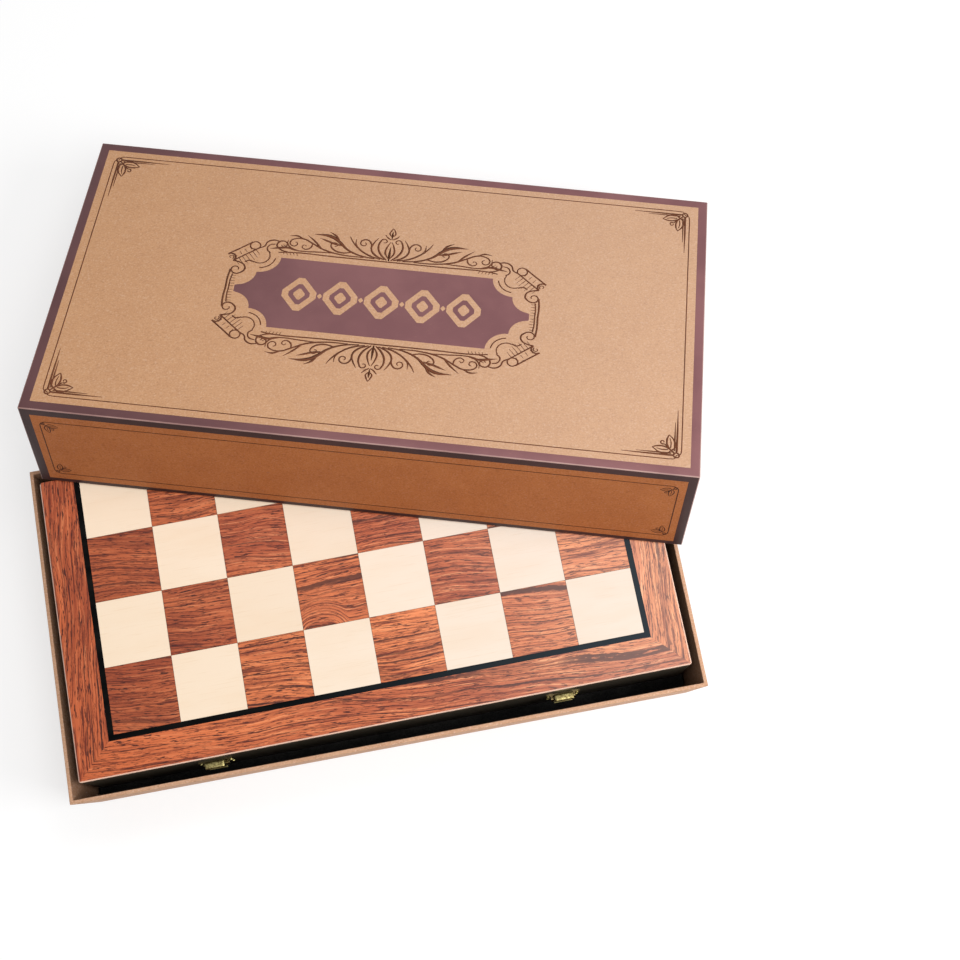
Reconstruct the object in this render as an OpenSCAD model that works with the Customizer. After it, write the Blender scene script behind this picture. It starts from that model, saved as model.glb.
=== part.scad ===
// Boxed chess set: a folding wooden case in a carton tray, with the carton's lid leaning on it.
// The origin is the middle of the tray's underside. +X runs along the fold, +Y to the back, +Z up.

/* [Playing field] */
// Side of one square of the field
square_size = 41.4; // [40:0.1:43]
// Width of the border round the field, inlay line included
border_width = 24.9; // [22:0.1:28]
// Width of the dark inlay line between border and squares
inlay_width = 3.5; // [2:0.1:5]
// Thickness of the wood that makes the playing side
deck_thickness = 5; // [4:0.1:6]
// Thickness of the wood of the squares
tile_thickness = 1; // [0.6:0.1:1.5]
// Joint between two squares
tile_joint = 0.2; // [0.1:0.05:0.4]
// Rounding of the playing side's outer edges
edge_radius = 1.2; // [0.5:0.1:2]

/* [Case] */
// Height of one half of the case, from the seam to the playing side
half_height = 30; // [29:0.5:33]
// Thickness of the case's side rails
rail_thickness = 9; // [8:0.5:11]
// Rounding of the case's upright corners
corner_radius = 2; // [1:0.1:3]
// Space between the closed halves
seam_gap = 0.2; // [0.1:0.05:0.4]

/* [Foam and pieces] */
// Thickness of the foam in each half
foam_thickness = 20; // [18:0.5:21]
// Space round each foam block
foam_clearance = 0.5; // [0.3:0.1:1]
// Foam left under each piece
slot_floor = 1; // [0.8:0.1:2]
// Space round a piece in its slot
slot_clearance = 0.8; // [0.5:0.1:1.2]
// Space between a lying piece and the foam under it
piece_rest_gap = 0.3; // [0.2:0.1:0.5]
// Foam between a row of slots and the edge
row_margin = 6; // [4:0.5:8]
// Height of the king
king_height = 74; // [68:1:76]
// Base radius of the king
king_radius = 12.7; // [11.5:0.1:12.9]

/* [Hinges] */
// Distance of each hinge from the middle of the fold
hinge_offset = 118; // [90:1:140]
// Width of a hinge
hinge_width = 38; // [30:1:50]
// Depth of a hinge leaf
leaf_depth = 8; // [7:0.5:8]
// Thickness of a hinge leaf
leaf_thickness = 1; // [0.8:0.1:1.2]
// Radius of a hinge barrel
barrel_radius = 2.2; // [2:0.1:2.4]
// Radius of a hinge pin
hinge_pin_radius = 1; // [0.8:0.1:1.2]
// Distance of the hinge axis from the case's back face
hinge_axis_out = 0.2; // [0.2:0.05:0.4]

/* [Latches] */
// Distance of each latch from the middle of the case
latch_offset = 110; // [80:1:140]
// Width of a latch plate
latch_plate_width = 21; // [20:0.5:26]
// Width of a latch lever
lever_width = 11.5; // [9:0.5:12]
// Length of a latch lever below its pin
lever_length = 5.2; // [5:0.1:6]
// Reach of the lever's finger tab
tab_reach = 1.8; // [1.5:0.1:2.2]
// Thickness of a latch lever
lever_thickness = 1; // [0.8:0.1:1.2]
// Height of the lever's pin above the seam
latch_axis_up = 4; // [3.5:0.1:4.5]
// Distance of the lever's pin from the case's front face
latch_axis_out = 2.2; // [2.1:0.1:2.4]
// Radius of the lever's barrel
lever_barrel_radius = 1.6; // [1.4:0.1:1.7]
// Radius of the lever's pin
latch_pin_radius = 0.8; // [0.6:0.05:0.9]
// Height of the upper latch plate
latch_plate_height = 10; // [9:0.5:14]
// Height of the keeper plate
keeper_height = 7; // [6:0.5:10]
// Thickness of the latch and keeper plates
plate_thickness = 0.8; // [0.6:0.1:1]

/* [Carton tray] */
// Space between the case and the tray's front wall
front_gap = 10.3; // [10:0.1:16]
// Space between the case and the tray's back wall
back_gap = 6.6; // [6:0.1:10]
// Space between the case and each end wall of the tray
side_gap = 5.75; // [4:0.05:8]
// How far the tray's rim lies below the top of the case
rim_drop = 6.9; // [4:0.1:12]
// Thickness of the tray's and the lid's board
board_thickness = 2.5; // [2:0.1:3]
// Thickness of the foam pad under the case
pad_thickness = 11.6; // [8:0.1:16]
// How far each wall of the tray leans out between its foot and its rim
wall_lean = 4; // [0:0.1:4]
// Turn of the tray against the case, in degrees
tray_turn = -0.46; // [-0.6:0.01:0.6]

/* [Carton lid] */
// Space between the tray's and the lid's walls when the lid is on
lid_play = 1.85; // [1:0.05:3]
// Height of the lid
lid_height = 76.7; // [70:0.1:84]
// Place of the middle of the lid's front edge, along the fold
lid_x = 5.65; // [0:0.05:8]
// How far the middle of the lid's front edge lies over the case, from the fold
lid_overlap = 57.25; // [51:0.05:58]
// Turn of the lid against the case, in degrees
lid_turn = -16.97; // [-18:0.01:-16]

/* [Place of the case in the tray] */
// Middle of the case along the fold
case_x = -0.5; // [-1:0.1:1]
// Space between the case and the pad, and between the lid and what it leans on
rest_gap = 0.3; // [0.2:0.05:0.5]

/* [Hidden] */
$fn = 48;
COLUMNS = 8;
ROWS = 4;
LEFT_AND_RIGHT = [-1, 1];
OVERCUT = 1;

field_length = COLUMNS * square_size;
field_depth = ROWS * square_size;
case_length = field_length + 2 * border_width;
case_depth = field_depth + border_width;
member_width = border_width - inlay_width;
deck_z = half_height - deck_thickness;
seam_face = seam_gap / 2;

case_bottom_z = board_thickness + pad_thickness + rest_gap;
seam_z = case_bottom_z + half_height;
case_top_z = seam_z + half_height;

// The tray goes round the case, and the lid goes round the tray
tray_length = case_length + 2 * (side_gap + board_thickness);
tray_depth = case_depth + front_gap + back_gap + 2 * board_thickness;
tray_height = case_top_z - rim_drop;
lid_length = tray_length + 2 * (lid_play + board_thickness);
lid_depth = tray_depth + 2 * (lid_play + board_thickness);
fold_y = tray_depth / 2 - board_thickness - back_gap;
lid_y = fold_y - lid_overlap;

// Foam blocks and the slots in them
foam_length = case_length - 2 * (rail_thickness + foam_clearance);
foam_depth = case_depth - 2 * (rail_thickness + foam_clearance);
foam_front_y = -case_depth + rail_thickness + foam_clearance;
slot_bottom_z = deck_z - slot_floor;
OFFICERS = ["king", "queen", "bishop", "knight", "rook", "rook", "knight", "bishop", "queen"];
PAWNS = 8;
officer_pitch = foam_length / len(OFFICERS);
pawn_pitch = foam_length / PAWNS;

// Sizes of the pieces, as shares of the king's
KINDS = ["king", "queen", "bishop", "knight", "rook", "pawn"];
HEIGHT_SHARES = [1, 0.9, 0.78, 0.7, 0.6, 0.52];
RADIUS_SHARES = [1, 0.94, 0.88, 0.88, 0.86, 0.75];

// How far the parts of a turned piece run into each other
TURNED_OVERLAP = 0.5;

// Hinges
KNUCKLES = 5;
knuckle_length = hinge_width / KNUCKLES;
knuckle_gap = 0.1;
leaf_gap = 0.05;
pin_clearance = 0.05;
barrel_clearance = 0.4;
hinge_screw_radius = 1.2;
hinge_screw_head_radius = 2.1;
hinge_screw_length = 9;
hinge_screw_y = -(barrel_radius + leaf_depth) / 2;
hinge_screw_offset = hinge_width / 2 - 6;

// Latches
ear_width = 1.8;
lever_side_gap = 0.2;
ear_outer_x = lever_width / 2 + lever_side_gap + ear_width;
plate_lift = 1;
notch_gap = 0.3;
ridge_height = 1;
ridge_reach = 0.6;
ridge_width = 9;
nail_radius = 0.6;
nail_head_radius = 1.1;
nail_head_height = 0.5;
nail_length = 6;
nail_x = (ear_outer_x + latch_plate_width / 2) / 2;

// Carton lid: it leans with its front wall on the case and its back wall on the table
lid_lean = asin((case_top_z - rest_gap / 2) / (lid_depth - board_thickness));
lid_z = case_top_z + rest_gap + board_thickness * sin(lid_lean);

// ---------------------------------------------------------------- places

// A half's frame: the fold's back face is y = 0 and the seam is z = 0, with the playing side at +Z
module in_half(upper) {
    translate([case_x, fold_y, seam_z])
        mirror([0, 0, upper ? 0 : 1])
            children();
}

// The tray's frame, turned a little against the case
module in_tray() {
    rotate([0, 0, tray_turn])
        children();
}

// The lid's frame: its origin is the middle of the lid's lower front edge
module in_lid() {
    translate([lid_x, lid_y, lid_z])
        rotate([0, 0, lid_turn])
            rotate([-lid_lean, 0, 0])
                children();
}

// ---------------------------------------------------------------- carton

// Wall of a carton with its rim along the side y = 0 and ends mitred where it meets its neighbours.
// Its foot stands in from the rim by the lean.
module mitred_wall(length, foot_z, rim_z, lean = 0) {
    corners = [
        for (end = [[foot_z, lean], [rim_z, 0]], corner = [[-1, 0], [1, 0], [1, 1], [-1, 1]])
            let (y = end[1] + corner[1] * board_thickness)
                [corner[0] * (length / 2 - y), y, end[0]]
    ];
    polyhedron(
        corners,
        [[0, 1, 2, 3], [7, 6, 5, 4], [0, 4, 5, 1], [1, 5, 6, 2], [2, 6, 7, 3], [3, 7, 4, 0]]
    );
}

// Puts a wall on one side of a carton that is centred on the origin
module on_side(side, length, depth) {
    if (side == "front") translate([0, -depth / 2, 0]) children();
    if (side == "back") translate([0, depth / 2, 0]) rotate(180) children();
    if (side == "left") translate([-length / 2, 0, 0]) rotate(-90) children();
    if (side == "right") translate([length / 2, 0, 0]) rotate(90) children();
}

module tray_floor() {
    color("burlywood")
        in_tray()
            translate([-tray_length / 2 + wall_lean, -tray_depth / 2 + wall_lean, 0])
                cube([tray_length - 2 * wall_lean, tray_depth - 2 * wall_lean, board_thickness]);
}

module tray_wall(side) {
    wall_length = side == "front" || side == "back" ? tray_length : tray_depth;
    color("burlywood")
        in_tray()
            on_side(side, tray_length, tray_depth)
                mitred_wall(wall_length, board_thickness, tray_height, wall_lean);
}

module tray_pad() {
    pad_gap = wall_lean + board_thickness + rest_gap;
    color("dimgray")
        in_tray()
            translate([-tray_length / 2 + pad_gap, -tray_depth / 2 + pad_gap, board_thickness])
                cube([tray_length - 2 * pad_gap, tray_depth - 2 * pad_gap, pad_thickness]);
}

module lid_top() {
    color("tan")
        in_lid()
            translate([-lid_length / 2, 0, lid_height - board_thickness])
                cube([lid_length, lid_depth, board_thickness]);
}

module lid_wall(side) {
    wall_length = side == "front" || side == "back" ? lid_length : lid_depth;
    color("peru")
        in_lid()
            translate([0, lid_depth / 2, 0])
                on_side(side, lid_length, lid_depth)
                    mitred_wall(wall_length, 0, lid_height - board_thickness);
}

// ---------------------------------------------------------------- case

// Plan of the case, with rounded corners
module case_plan() {
    straight_length = case_length - 2 * corner_radius;
    straight_depth = case_depth - 2 * corner_radius;
    translate([-straight_length / 2, -case_depth]) square([straight_length, case_depth]);
    translate([-case_length / 2, -case_depth + corner_radius]) square([case_length, straight_depth]);
    for (side = LEFT_AND_RIGHT, y = [-corner_radius, -case_depth + corner_radius])
        translate([side * straight_length / 2, y]) circle(corner_radius);
}

// A length of the case's rails, cut from its plan between two depths
module rail_between(front_y, back_y) {
    translate([0, 0, seam_face])
        linear_extrude(deck_z - seam_face)
            intersection() {
                case_plan();
                translate([-case_length / 2, front_y]) square([case_length, back_y - front_y]);
            }
}

module front_rail(upper) {
    color("black")
        in_half(upper)
            difference() {
                rail_between(-case_depth, -case_depth + rail_thickness);
                latch_nails(upper, nail_radius);
            }
}

module back_rail(upper) {
    color("black")
        in_half(upper)
            difference() {
                rail_between(-rail_thickness, 0);
                for (side = LEFT_AND_RIGHT)
                    translate([side * hinge_offset, 0, 0]) {
                        hinge_pocket();
                        hinge_screw_shanks(hinge_screw_radius + pin_clearance);
                    }
            }
}

module side_rail(upper, side) {
    rail_x = side < 0 ? -case_length / 2 : case_length / 2 - rail_thickness;
    color("black")
        in_half(upper)
            translate([rail_x, -case_depth + rail_thickness, seam_face])
                cube([rail_thickness, case_depth - 2 * rail_thickness, deck_z - seam_face]);
}

module core_panel(upper) {
    color("saddlebrown")
        in_half(upper)
            translate([-field_length / 2, -field_depth, deck_z])
                cube([field_length, field_depth, deck_thickness - tile_thickness]);
}

// What a rounded edge of the given length loses; the edge runs along X at y = 0, z = 0
module edge_waste(length) {
    difference() {
        translate([-length / 2, -OVERCUT, -edge_radius])
            cube([length, edge_radius + OVERCUT, edge_radius + OVERCUT]);
        translate([-length / 2 - OVERCUT, edge_radius, -edge_radius])
            rotate([0, 90, 0])
                cylinder(r = edge_radius, h = length + 2 * OVERCUT);
    }
}

// Rounds the front and the two side edges of the playing side
module round_deck_edges() {
    difference() {
        children();
        translate([0, -case_depth, half_height]) edge_waste(case_length + 2 * OVERCUT);
        translate([-case_length / 2, -case_depth / 2, half_height])
            rotate(-90) edge_waste(case_depth + 2 * OVERCUT);
        translate([case_length / 2, -case_depth / 2, half_height])
            rotate(90) edge_waste(case_depth + 2 * OVERCUT);
    }
}

// Plan of one border member, mitred at 45 degrees at the front corners
module border_member_plan(side) {
    outer_x = case_length / 2;
    inner_x = outer_x - member_width;
    inner_y = -case_depth + member_width;
    if (side == 0)
        polygon([[-outer_x, -case_depth], [outer_x, -case_depth], [inner_x, inner_y], [-inner_x, inner_y]]);
    else
        polygon([
            [side * outer_x, -case_depth],
            [side * inner_x, inner_y],
            [side * inner_x, 0],
            [side * outer_x, 0]
        ]);
}

// One member of the border: side -1 is the left one, 0 the front one and 1 the right one
module border_member(upper, side) {
    color("sienna")
        in_half(upper)
            round_deck_edges()
                translate([0, 0, deck_z])
                    linear_extrude(deck_thickness)
                        intersection() {
                            case_plan();
                            border_member_plan(side);
                        }
}

module inlay(upper) {
    color("black")
        in_half(upper)
            translate([0, 0, deck_z])
                linear_extrude(deck_thickness)
                    difference() {
                        translate([-field_length / 2 - inlay_width, -field_depth - inlay_width])
                            square([field_length + 2 * inlay_width, field_depth + inlay_width]);
                        translate([-field_length / 2, -field_depth])
                            square([field_length, field_depth + OVERCUT]);
                    }
}

// The upper half's front left square is dark, and the lower half carries the pattern on past the fold
function is_dark(upper, column, row) = (column + row + (upper ? 0 : 1)) % 2 == 0;

module squares(upper, dark) {
    color(dark ? "sienna" : "wheat")
        in_half(upper)
            for (column = [0 : COLUMNS - 1], row = [0 : ROWS - 1])
                if (is_dark(upper, column, row) == dark)
                    translate([
                        -field_length / 2 + column * square_size + tile_joint / 2,
                        -field_depth + row * square_size + tile_joint / 2,
                        half_height - tile_thickness
                    ])
                        cube([square_size - tile_joint, square_size - tile_joint, tile_thickness]);
}

// ---------------------------------------------------------------- foam and pieces

function piece_height(kind) = king_height * HEIGHT_SHARES[search([kind], KINDS)[0]];
function piece_radius(kind) = king_radius * RADIUS_SHARES[search([kind], KINDS)[0]];

// Where a piece's base lies: the upper half keeps its officers in front, the lower half its pawns
function row_base_y(upper, kind) =
    upper == (kind != "pawn")
        ? foam_front_y + row_margin
        : foam_front_y + foam_depth - row_margin - (kind == "pawn" ? piece_height("pawn") : king_height);

function slot_x(kind, index) =
    kind == "pawn"
        ? (index - (PAWNS - 1) / 2) * pawn_pitch
        : (index - (len(OFFICERS) - 1) / 2) * officer_pitch;

module slot(upper, kind, index) {
    half_width = piece_radius(kind) + slot_clearance;
    translate([
        slot_x(kind, index) - half_width,
        row_base_y(upper, kind) - slot_clearance,
        deck_z - foam_thickness - OVERCUT
    ])
        cube([
            2 * half_width,
            piece_height(kind) + 2 * slot_clearance,
            foam_thickness + OVERCUT - slot_floor
        ]);
}

module foam(upper) {
    color("dimgray")
        in_half(upper)
            difference() {
                translate([-foam_length / 2, foam_front_y, deck_z - foam_thickness])
                    cube([foam_length, foam_depth, foam_thickness]);
                for (index = [0 : len(OFFICERS) - 1]) slot(upper, OFFICERS[index], index);
                for (index = [0 : PAWNS - 1]) slot(upper, "pawn", index);
            }
}

// The turned foot and stem that the pieces share, up to the collar
module turned_stem(radius, height) {
    foot = 0.1 * height;
    collar_z = 0.62 * height;
    collar_radius = 0.62 * radius;
    cylinder(r = radius, h = foot);
    translate([0, 0, foot / 2]) cylinder(r1 = 0.82 * radius, r2 = 0.4 * radius, h = collar_z - foot / 2);
    translate([0, 0, collar_z - TURNED_OVERLAP])
        cylinder(r = collar_radius, h = 0.035 * height + TURNED_OVERLAP);
}

module pawn_head(radius, height) {
    head_radius = 0.17 * height;
    translate([0, 0, height - head_radius]) sphere(head_radius);
    translate([0, 0, 0.6 * height]) cylinder(r = 0.35 * radius, h = 0.15 * height);
}

module rook_head(radius, height) {
    tower_z = 0.64 * height;
    slit = 0.3 * radius;
    difference() {
        translate([0, 0, tower_z]) cylinder(r = 0.72 * radius, h = height - tower_z);
        translate([0, 0, 0.86 * height]) cylinder(r = 0.45 * radius, h = height);
        for (turn = [0, 90])
            rotate(turn)
                translate([-radius, -slit / 2, 0.88 * height]) cube([2 * radius, slit, height]);
    }
}

module bishop_head(radius, height) {
    head_radius = 0.15 * height;
    bead_radius = 0.04 * height;
    translate([0, 0, 0.64 * height]) cylinder(r1 = 0.42 * radius, r2 = 0.3 * radius, h = 0.12 * height);
    translate([0, 0, 0.77 * height]) sphere(head_radius);
    translate([0, 0, height - 2 * bead_radius - 0.04 * height])
        cylinder(r1 = 0.45 * head_radius, r2 = 0.2 * bead_radius, h = 0.08 * height);
    translate([0, 0, height - bead_radius]) sphere(bead_radius);
}

module crown(radius, height, top) {
    crown_z = 0.64 * height;
    translate([0, 0, crown_z]) cylinder(r1 = 0.38 * radius, r2 = 0.62 * radius, h = top - crown_z);
}

module queen_head(radius, height) {
    bead_radius = 0.05 * height;
    crown(radius, height, 0.9 * height);
    translate([0, 0, 0.9 * height - TURNED_OVERLAP])
        cylinder(r1 = 0.55 * radius, r2 = 0.2 * radius, h = 0.04 * height + TURNED_OVERLAP);
    translate([0, 0, height - bead_radius]) sphere(bead_radius);
}

module king_head(radius, height) {
    arm = 0.16 * radius;
    crown(radius, height, 0.86 * height);
    translate([0, 0, 0.86 * height - TURNED_OVERLAP])
        cylinder(r1 = 0.55 * radius, r2 = 0.2 * radius, h = 0.04 * height + TURNED_OVERLAP);
    translate([-arm, -arm, 0.88 * height]) cube([2 * arm, 2 * arm, 0.12 * height]);
    translate([-3 * arm, -arm, 0.93 * height]) cube([6 * arm, 2 * arm, 2 * arm]);
}

// A horse's head and neck in side view, in shares of the piece's height
module knight_head(radius, height) {
    thickness = 0.7 * radius;
    translate([0, thickness / 2, 0])
        rotate([90, 0, 0])
            linear_extrude(thickness)
                scale(height)
                    polygon([
                        [-0.14, 0.3], [0.13, 0.3], [0.15, 0.5], [0.08, 0.64], [0.11, 0.68], [0.2, 0.62],
                        [0.23, 0.68], [0.16, 0.84], [0.04, 0.93], [0.02, 1], [-0.04, 0.93], [-0.13, 0.82],
                        [-0.17, 0.6]
                    ]);
}

module knight_stem(radius, height) {
    foot = 0.1 * height;
    cylinder(r = radius, h = foot);
    translate([0, 0, foot / 2])
        cylinder(r1 = 0.85 * radius, r2 = 0.66 * radius, h = 0.26 * height - foot / 2);
    translate([0, 0, 0.26 * height - TURNED_OVERLAP])
        cylinder(r = 0.72 * radius, h = 0.05 * height + TURNED_OVERLAP);
}

// A piece that stands at the origin
module piece(kind) {
    radius = piece_radius(kind);
    height = piece_height(kind);
    if (kind == "knight") {
        knight_stem(radius, height);
        knight_head(radius, height);
    } else {
        turned_stem(radius, height);
        if (kind == "pawn") pawn_head(radius, height);
        if (kind == "rook") rook_head(radius, height);
        if (kind == "bishop") bishop_head(radius, height);
        if (kind == "queen") queen_head(radius, height);
        if (kind == "king") king_head(radius, height);
    }
}

// A piece that lies in its slot with its head towards the fold
module lying_piece(upper, kind, index) {
    translate([
        slot_x(kind, index),
        row_base_y(upper, kind),
        slot_bottom_z - piece_rest_gap - piece_radius(kind)
    ])
        rotate([-90, 0, 0])
            piece(kind);
}

// All pieces of one kind; the upper half holds the dark army and the lower half the light one
module army(upper, kind) {
    color(upper ? "saddlebrown" : "khaki")
        in_half(upper)
            if (kind == "pawn")
                for (index = [0 : PAWNS - 1]) lying_piece(upper, kind, index);
            else
                for (index = [0 : len(OFFICERS) - 1])
                    if (OFFICERS[index] == kind) lying_piece(upper, kind, index);
}

// ---------------------------------------------------------------- hinges

// Room in a back rail for a leaf and for the barrel, in a half's frame
module hinge_pocket() {
    pocket_width = hinge_width + 2 * barrel_clearance;
    translate([-pocket_width / 2, -leaf_depth - pin_clearance, 0])
        cube([pocket_width, leaf_depth + pin_clearance + OVERCUT, leaf_thickness]);
    translate([-pocket_width / 2, hinge_axis_out, 0])
        rotate([0, 90, 0])
            cylinder(r = barrel_radius + barrel_clearance, h = pocket_width);
}

module hinge_screw_shanks(radius) {
    for (side = LEFT_AND_RIGHT)
        translate([side * hinge_screw_offset, hinge_screw_y, leaf_gap])
            cylinder(r = radius, h = hinge_screw_length);
}

module hinge_screw_heads(extra) {
    for (side = LEFT_AND_RIGHT)
        translate([side * hinge_screw_offset, hinge_screw_y, leaf_gap])
            cylinder(
                r1 = hinge_screw_head_radius + extra,
                r2 = hinge_screw_radius + extra,
                h = leaf_thickness - leaf_gap
            );
}

// The upper leaf carries the first, third and last knuckle, and the lower leaf the other two
function carries(upper, knuckle) = (knuckle % 2 == 0) == upper;

module hinge_leaf(upper) {
    difference() {
        union() {
            translate([-hinge_width / 2, -leaf_depth, leaf_gap])
                cube([hinge_width, leaf_depth - barrel_radius - barrel_clearance, leaf_thickness - leaf_gap]);
            for (knuckle = [0 : KNUCKLES - 1])
                if (carries(upper, knuckle))
                    translate([-hinge_width / 2 + knuckle * knuckle_length + knuckle_gap, 0, 0]) {
                        translate([0, -leaf_depth, leaf_gap])
                            cube([
                                knuckle_length - 2 * knuckle_gap,
                                leaf_depth + hinge_axis_out,
                                leaf_thickness - leaf_gap
                            ]);
                        translate([0, hinge_axis_out, 0])
                            rotate([0, 90, 0])
                                cylinder(r = barrel_radius, h = knuckle_length - 2 * knuckle_gap);
                    }
        }
        translate([-hinge_width / 2 - OVERCUT, hinge_axis_out, 0])
            rotate([0, 90, 0])
                cylinder(r = hinge_pin_radius + pin_clearance, h = hinge_width + 2 * OVERCUT);
        hinge_screw_heads(pin_clearance);
    }
}

module at_hinges() {
    for (side = LEFT_AND_RIGHT)
        translate([side * hinge_offset, 0, 0])
            children();
}

module hinge_leaves(upper) {
    color("gold")
        in_half(upper)
            at_hinges()
                hinge_leaf(upper);
}

module hinge_pins() {
    color("goldenrod")
        in_half(true)
            at_hinges()
                translate([-hinge_width / 2, hinge_axis_out, 0])
                    rotate([0, 90, 0])
                        cylinder(r = hinge_pin_radius, h = hinge_width);
}

module hinge_screws(upper) {
    color("goldenrod")
        in_half(upper)
            at_hinges() {
                hinge_screw_heads(0);
                hinge_screw_shanks(hinge_screw_radius);
            }
}

// ---------------------------------------------------------------- latches

module at_latches() {
    for (side = LEFT_AND_RIGHT)
        translate([side * latch_offset, -case_depth, 0])
            children();
}

function nail_z(upper) = plate_lift + (upper ? latch_plate_height : keeper_height) / 2;

// Nails of both latches: shanks that run into the rail, in a half's frame
module latch_nails(upper, radius) {
    at_latches()
        for (side = LEFT_AND_RIGHT)
            translate([side * nail_x, 0, nail_z(upper)])
                rotate([-90, 0, 0])
                    translate([0, 0, -plate_thickness])
                        cylinder(r = radius, h = nail_length);
}

module nails(upper) {
    color("gold")
        in_half(upper) {
            latch_nails(upper, nail_radius);
            at_latches()
                for (side = LEFT_AND_RIGHT)
                    translate([side * nail_x, -plate_thickness, nail_z(upper)])
                        rotate([90, 0, 0])
                            cylinder(r = nail_head_radius, h = nail_head_height);
        }
}

// Upper plate: a notch for the lever's barrel, and an ear on each side of it that holds the pin
module latch_plate() {
    notch_width = lever_width + 2 * lever_side_gap;
    notch_top = latch_axis_up + lever_barrel_radius + notch_gap;
    difference() {
        union() {
            translate([-latch_plate_width / 2, -plate_thickness, plate_lift])
                cube([latch_plate_width, plate_thickness, latch_plate_height]);
            for (side = LEFT_AND_RIGHT)
                translate([side * (ear_outer_x - ear_width / 2) - ear_width / 2, 0, latch_axis_up]) {
                    translate([0, -latch_axis_out, -lever_barrel_radius])
                        cube([ear_width, latch_axis_out, 2 * lever_barrel_radius]);
                    translate([0, -latch_axis_out, 0])
                        rotate([0, 90, 0])
                            cylinder(r = lever_barrel_radius, h = ear_width);
                }
        }
        translate([-notch_width / 2, -plate_thickness - OVERCUT, 0])
            cube([notch_width, plate_thickness + 2 * OVERCUT, notch_top]);
        translate([-ear_outer_x - OVERCUT, -latch_axis_out, latch_axis_up])
            rotate([0, 90, 0])
                cylinder(r = latch_pin_radius + pin_clearance / 2, h = 2 * (ear_outer_x + OVERCUT));
    }
}

module latch_plates() {
    color("gold")
        in_half(true)
            difference() {
                at_latches() latch_plate();
                latch_nails(true, nail_radius + pin_clearance);
            }
}

module latch_pins() {
    color("goldenrod")
        in_half(true)
            at_latches()
                translate([-ear_outer_x, -latch_axis_out, latch_axis_up])
                    rotate([0, 90, 0])
                        cylinder(r = latch_pin_radius, h = 2 * ear_outer_x);
}

// The lever hangs in front of the keeper's ridge and ends in a finger tab
module latch_lever(side) {
    tab_y = -latch_axis_out - lever_thickness / 2 - tab_reach;
    lever_bottom = latch_axis_up - lever_length;
    color("gold")
        in_half(true)
            translate([side * latch_offset - lever_width / 2, -case_depth, 0])
                difference() {
                    union() {
                        translate([0, -latch_axis_out, latch_axis_up])
                            rotate([0, 90, 0])
                                cylinder(r = lever_barrel_radius, h = lever_width);
                        translate([0, -latch_axis_out - lever_thickness / 2, lever_bottom])
                            cube([lever_width, lever_thickness, lever_length]);
                        translate([0, tab_y, lever_bottom])
                            cube([lever_width, tab_reach + lever_thickness / 2, lever_thickness]);
                    }
                    translate([-OVERCUT, -latch_axis_out, latch_axis_up])
                        rotate([0, 90, 0])
                            cylinder(r = latch_pin_radius + pin_clearance, h = lever_width + 2 * OVERCUT);
                }
}

module latch_keepers() {
    color("gold")
        in_half(false)
            difference() {
                at_latches() {
                    translate([-latch_plate_width / 2, -plate_thickness, plate_lift])
                        cube([latch_plate_width, plate_thickness, keeper_height]);
                    translate([-ridge_width / 2, -plate_thickness - ridge_reach, plate_lift])
                        cube([ridge_width, ridge_reach + plate_thickness, ridge_height]);
                }
                latch_nails(false, nail_radius + pin_clearance);
            }
}

// ---------------------------------------------------------------- nodes

tray_floor();
tray_wall("front");  // tray_front_wall
tray_wall("back");  // tray_back_wall
tray_wall("left");  // tray_left_wall
tray_wall("right");  // tray_right_wall
tray_pad();
lid_top();
lid_wall("front");  // lid_front_wall
lid_wall("back");  // lid_back_wall
lid_wall("left");  // lid_left_wall
lid_wall("right");  // lid_right_wall
front_rail(true);  // upper_front_rail
back_rail(true);  // upper_back_rail
side_rail(true, -1);  // upper_left_rail
side_rail(true, 1);  // upper_right_rail
core_panel(true);  // upper_core_panel
border_member(true, 0);  // upper_front_member
border_member(true, -1);  // upper_left_member
border_member(true, 1);  // upper_right_member
inlay(true);  // upper_inlay
squares(true, false);  // upper_light_squares
squares(true, true);  // upper_dark_squares
foam(true);  // upper_foam
front_rail(false);  // lower_front_rail
back_rail(false);  // lower_back_rail
side_rail(false, -1);  // lower_left_rail
side_rail(false, 1);  // lower_right_rail
core_panel(false);  // lower_core_panel
border_member(false, 0);  // lower_front_member
border_member(false, -1);  // lower_left_member
border_member(false, 1);  // lower_right_member
inlay(false);  // lower_inlay
squares(false, false);  // lower_light_squares
squares(false, true);  // lower_dark_squares
foam(false);  // lower_foam
hinge_leaves(true);  // upper_hinge_leaves
hinge_leaves(false);  // lower_hinge_leaves
hinge_pins();
hinge_screws(true);  // upper_hinge_screws
hinge_screws(false);  // lower_hinge_screws
latch_plates();
latch_pins();
nails(true);  // latch_plate_nails
latch_keepers();
nails(false);  // keeper_nails
latch_lever(-1);  // left_latch_lever
latch_lever(1);  // right_latch_lever
army(true, "king");  // dark_king
army(true, "queen");  // dark_queens
army(true, "bishop");  // dark_bishops
army(true, "knight");  // dark_knights
army(true, "rook");  // dark_rooks
army(true, "pawn");  // dark_pawns
army(false, "king");  // light_king
army(false, "queen");  // light_queens
army(false, "bishop");  // light_bishops
army(false, "knight");  // light_knights
army(false, "rook");  // light_rooks
army(false, "pawn");  // light_pawns
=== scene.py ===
"""Boxed folding chess case: carton tray, loose carton lid, inlaid wooden case with its pieces."""

import math

import bpy
from mathutils import Matrix, Vector


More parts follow.
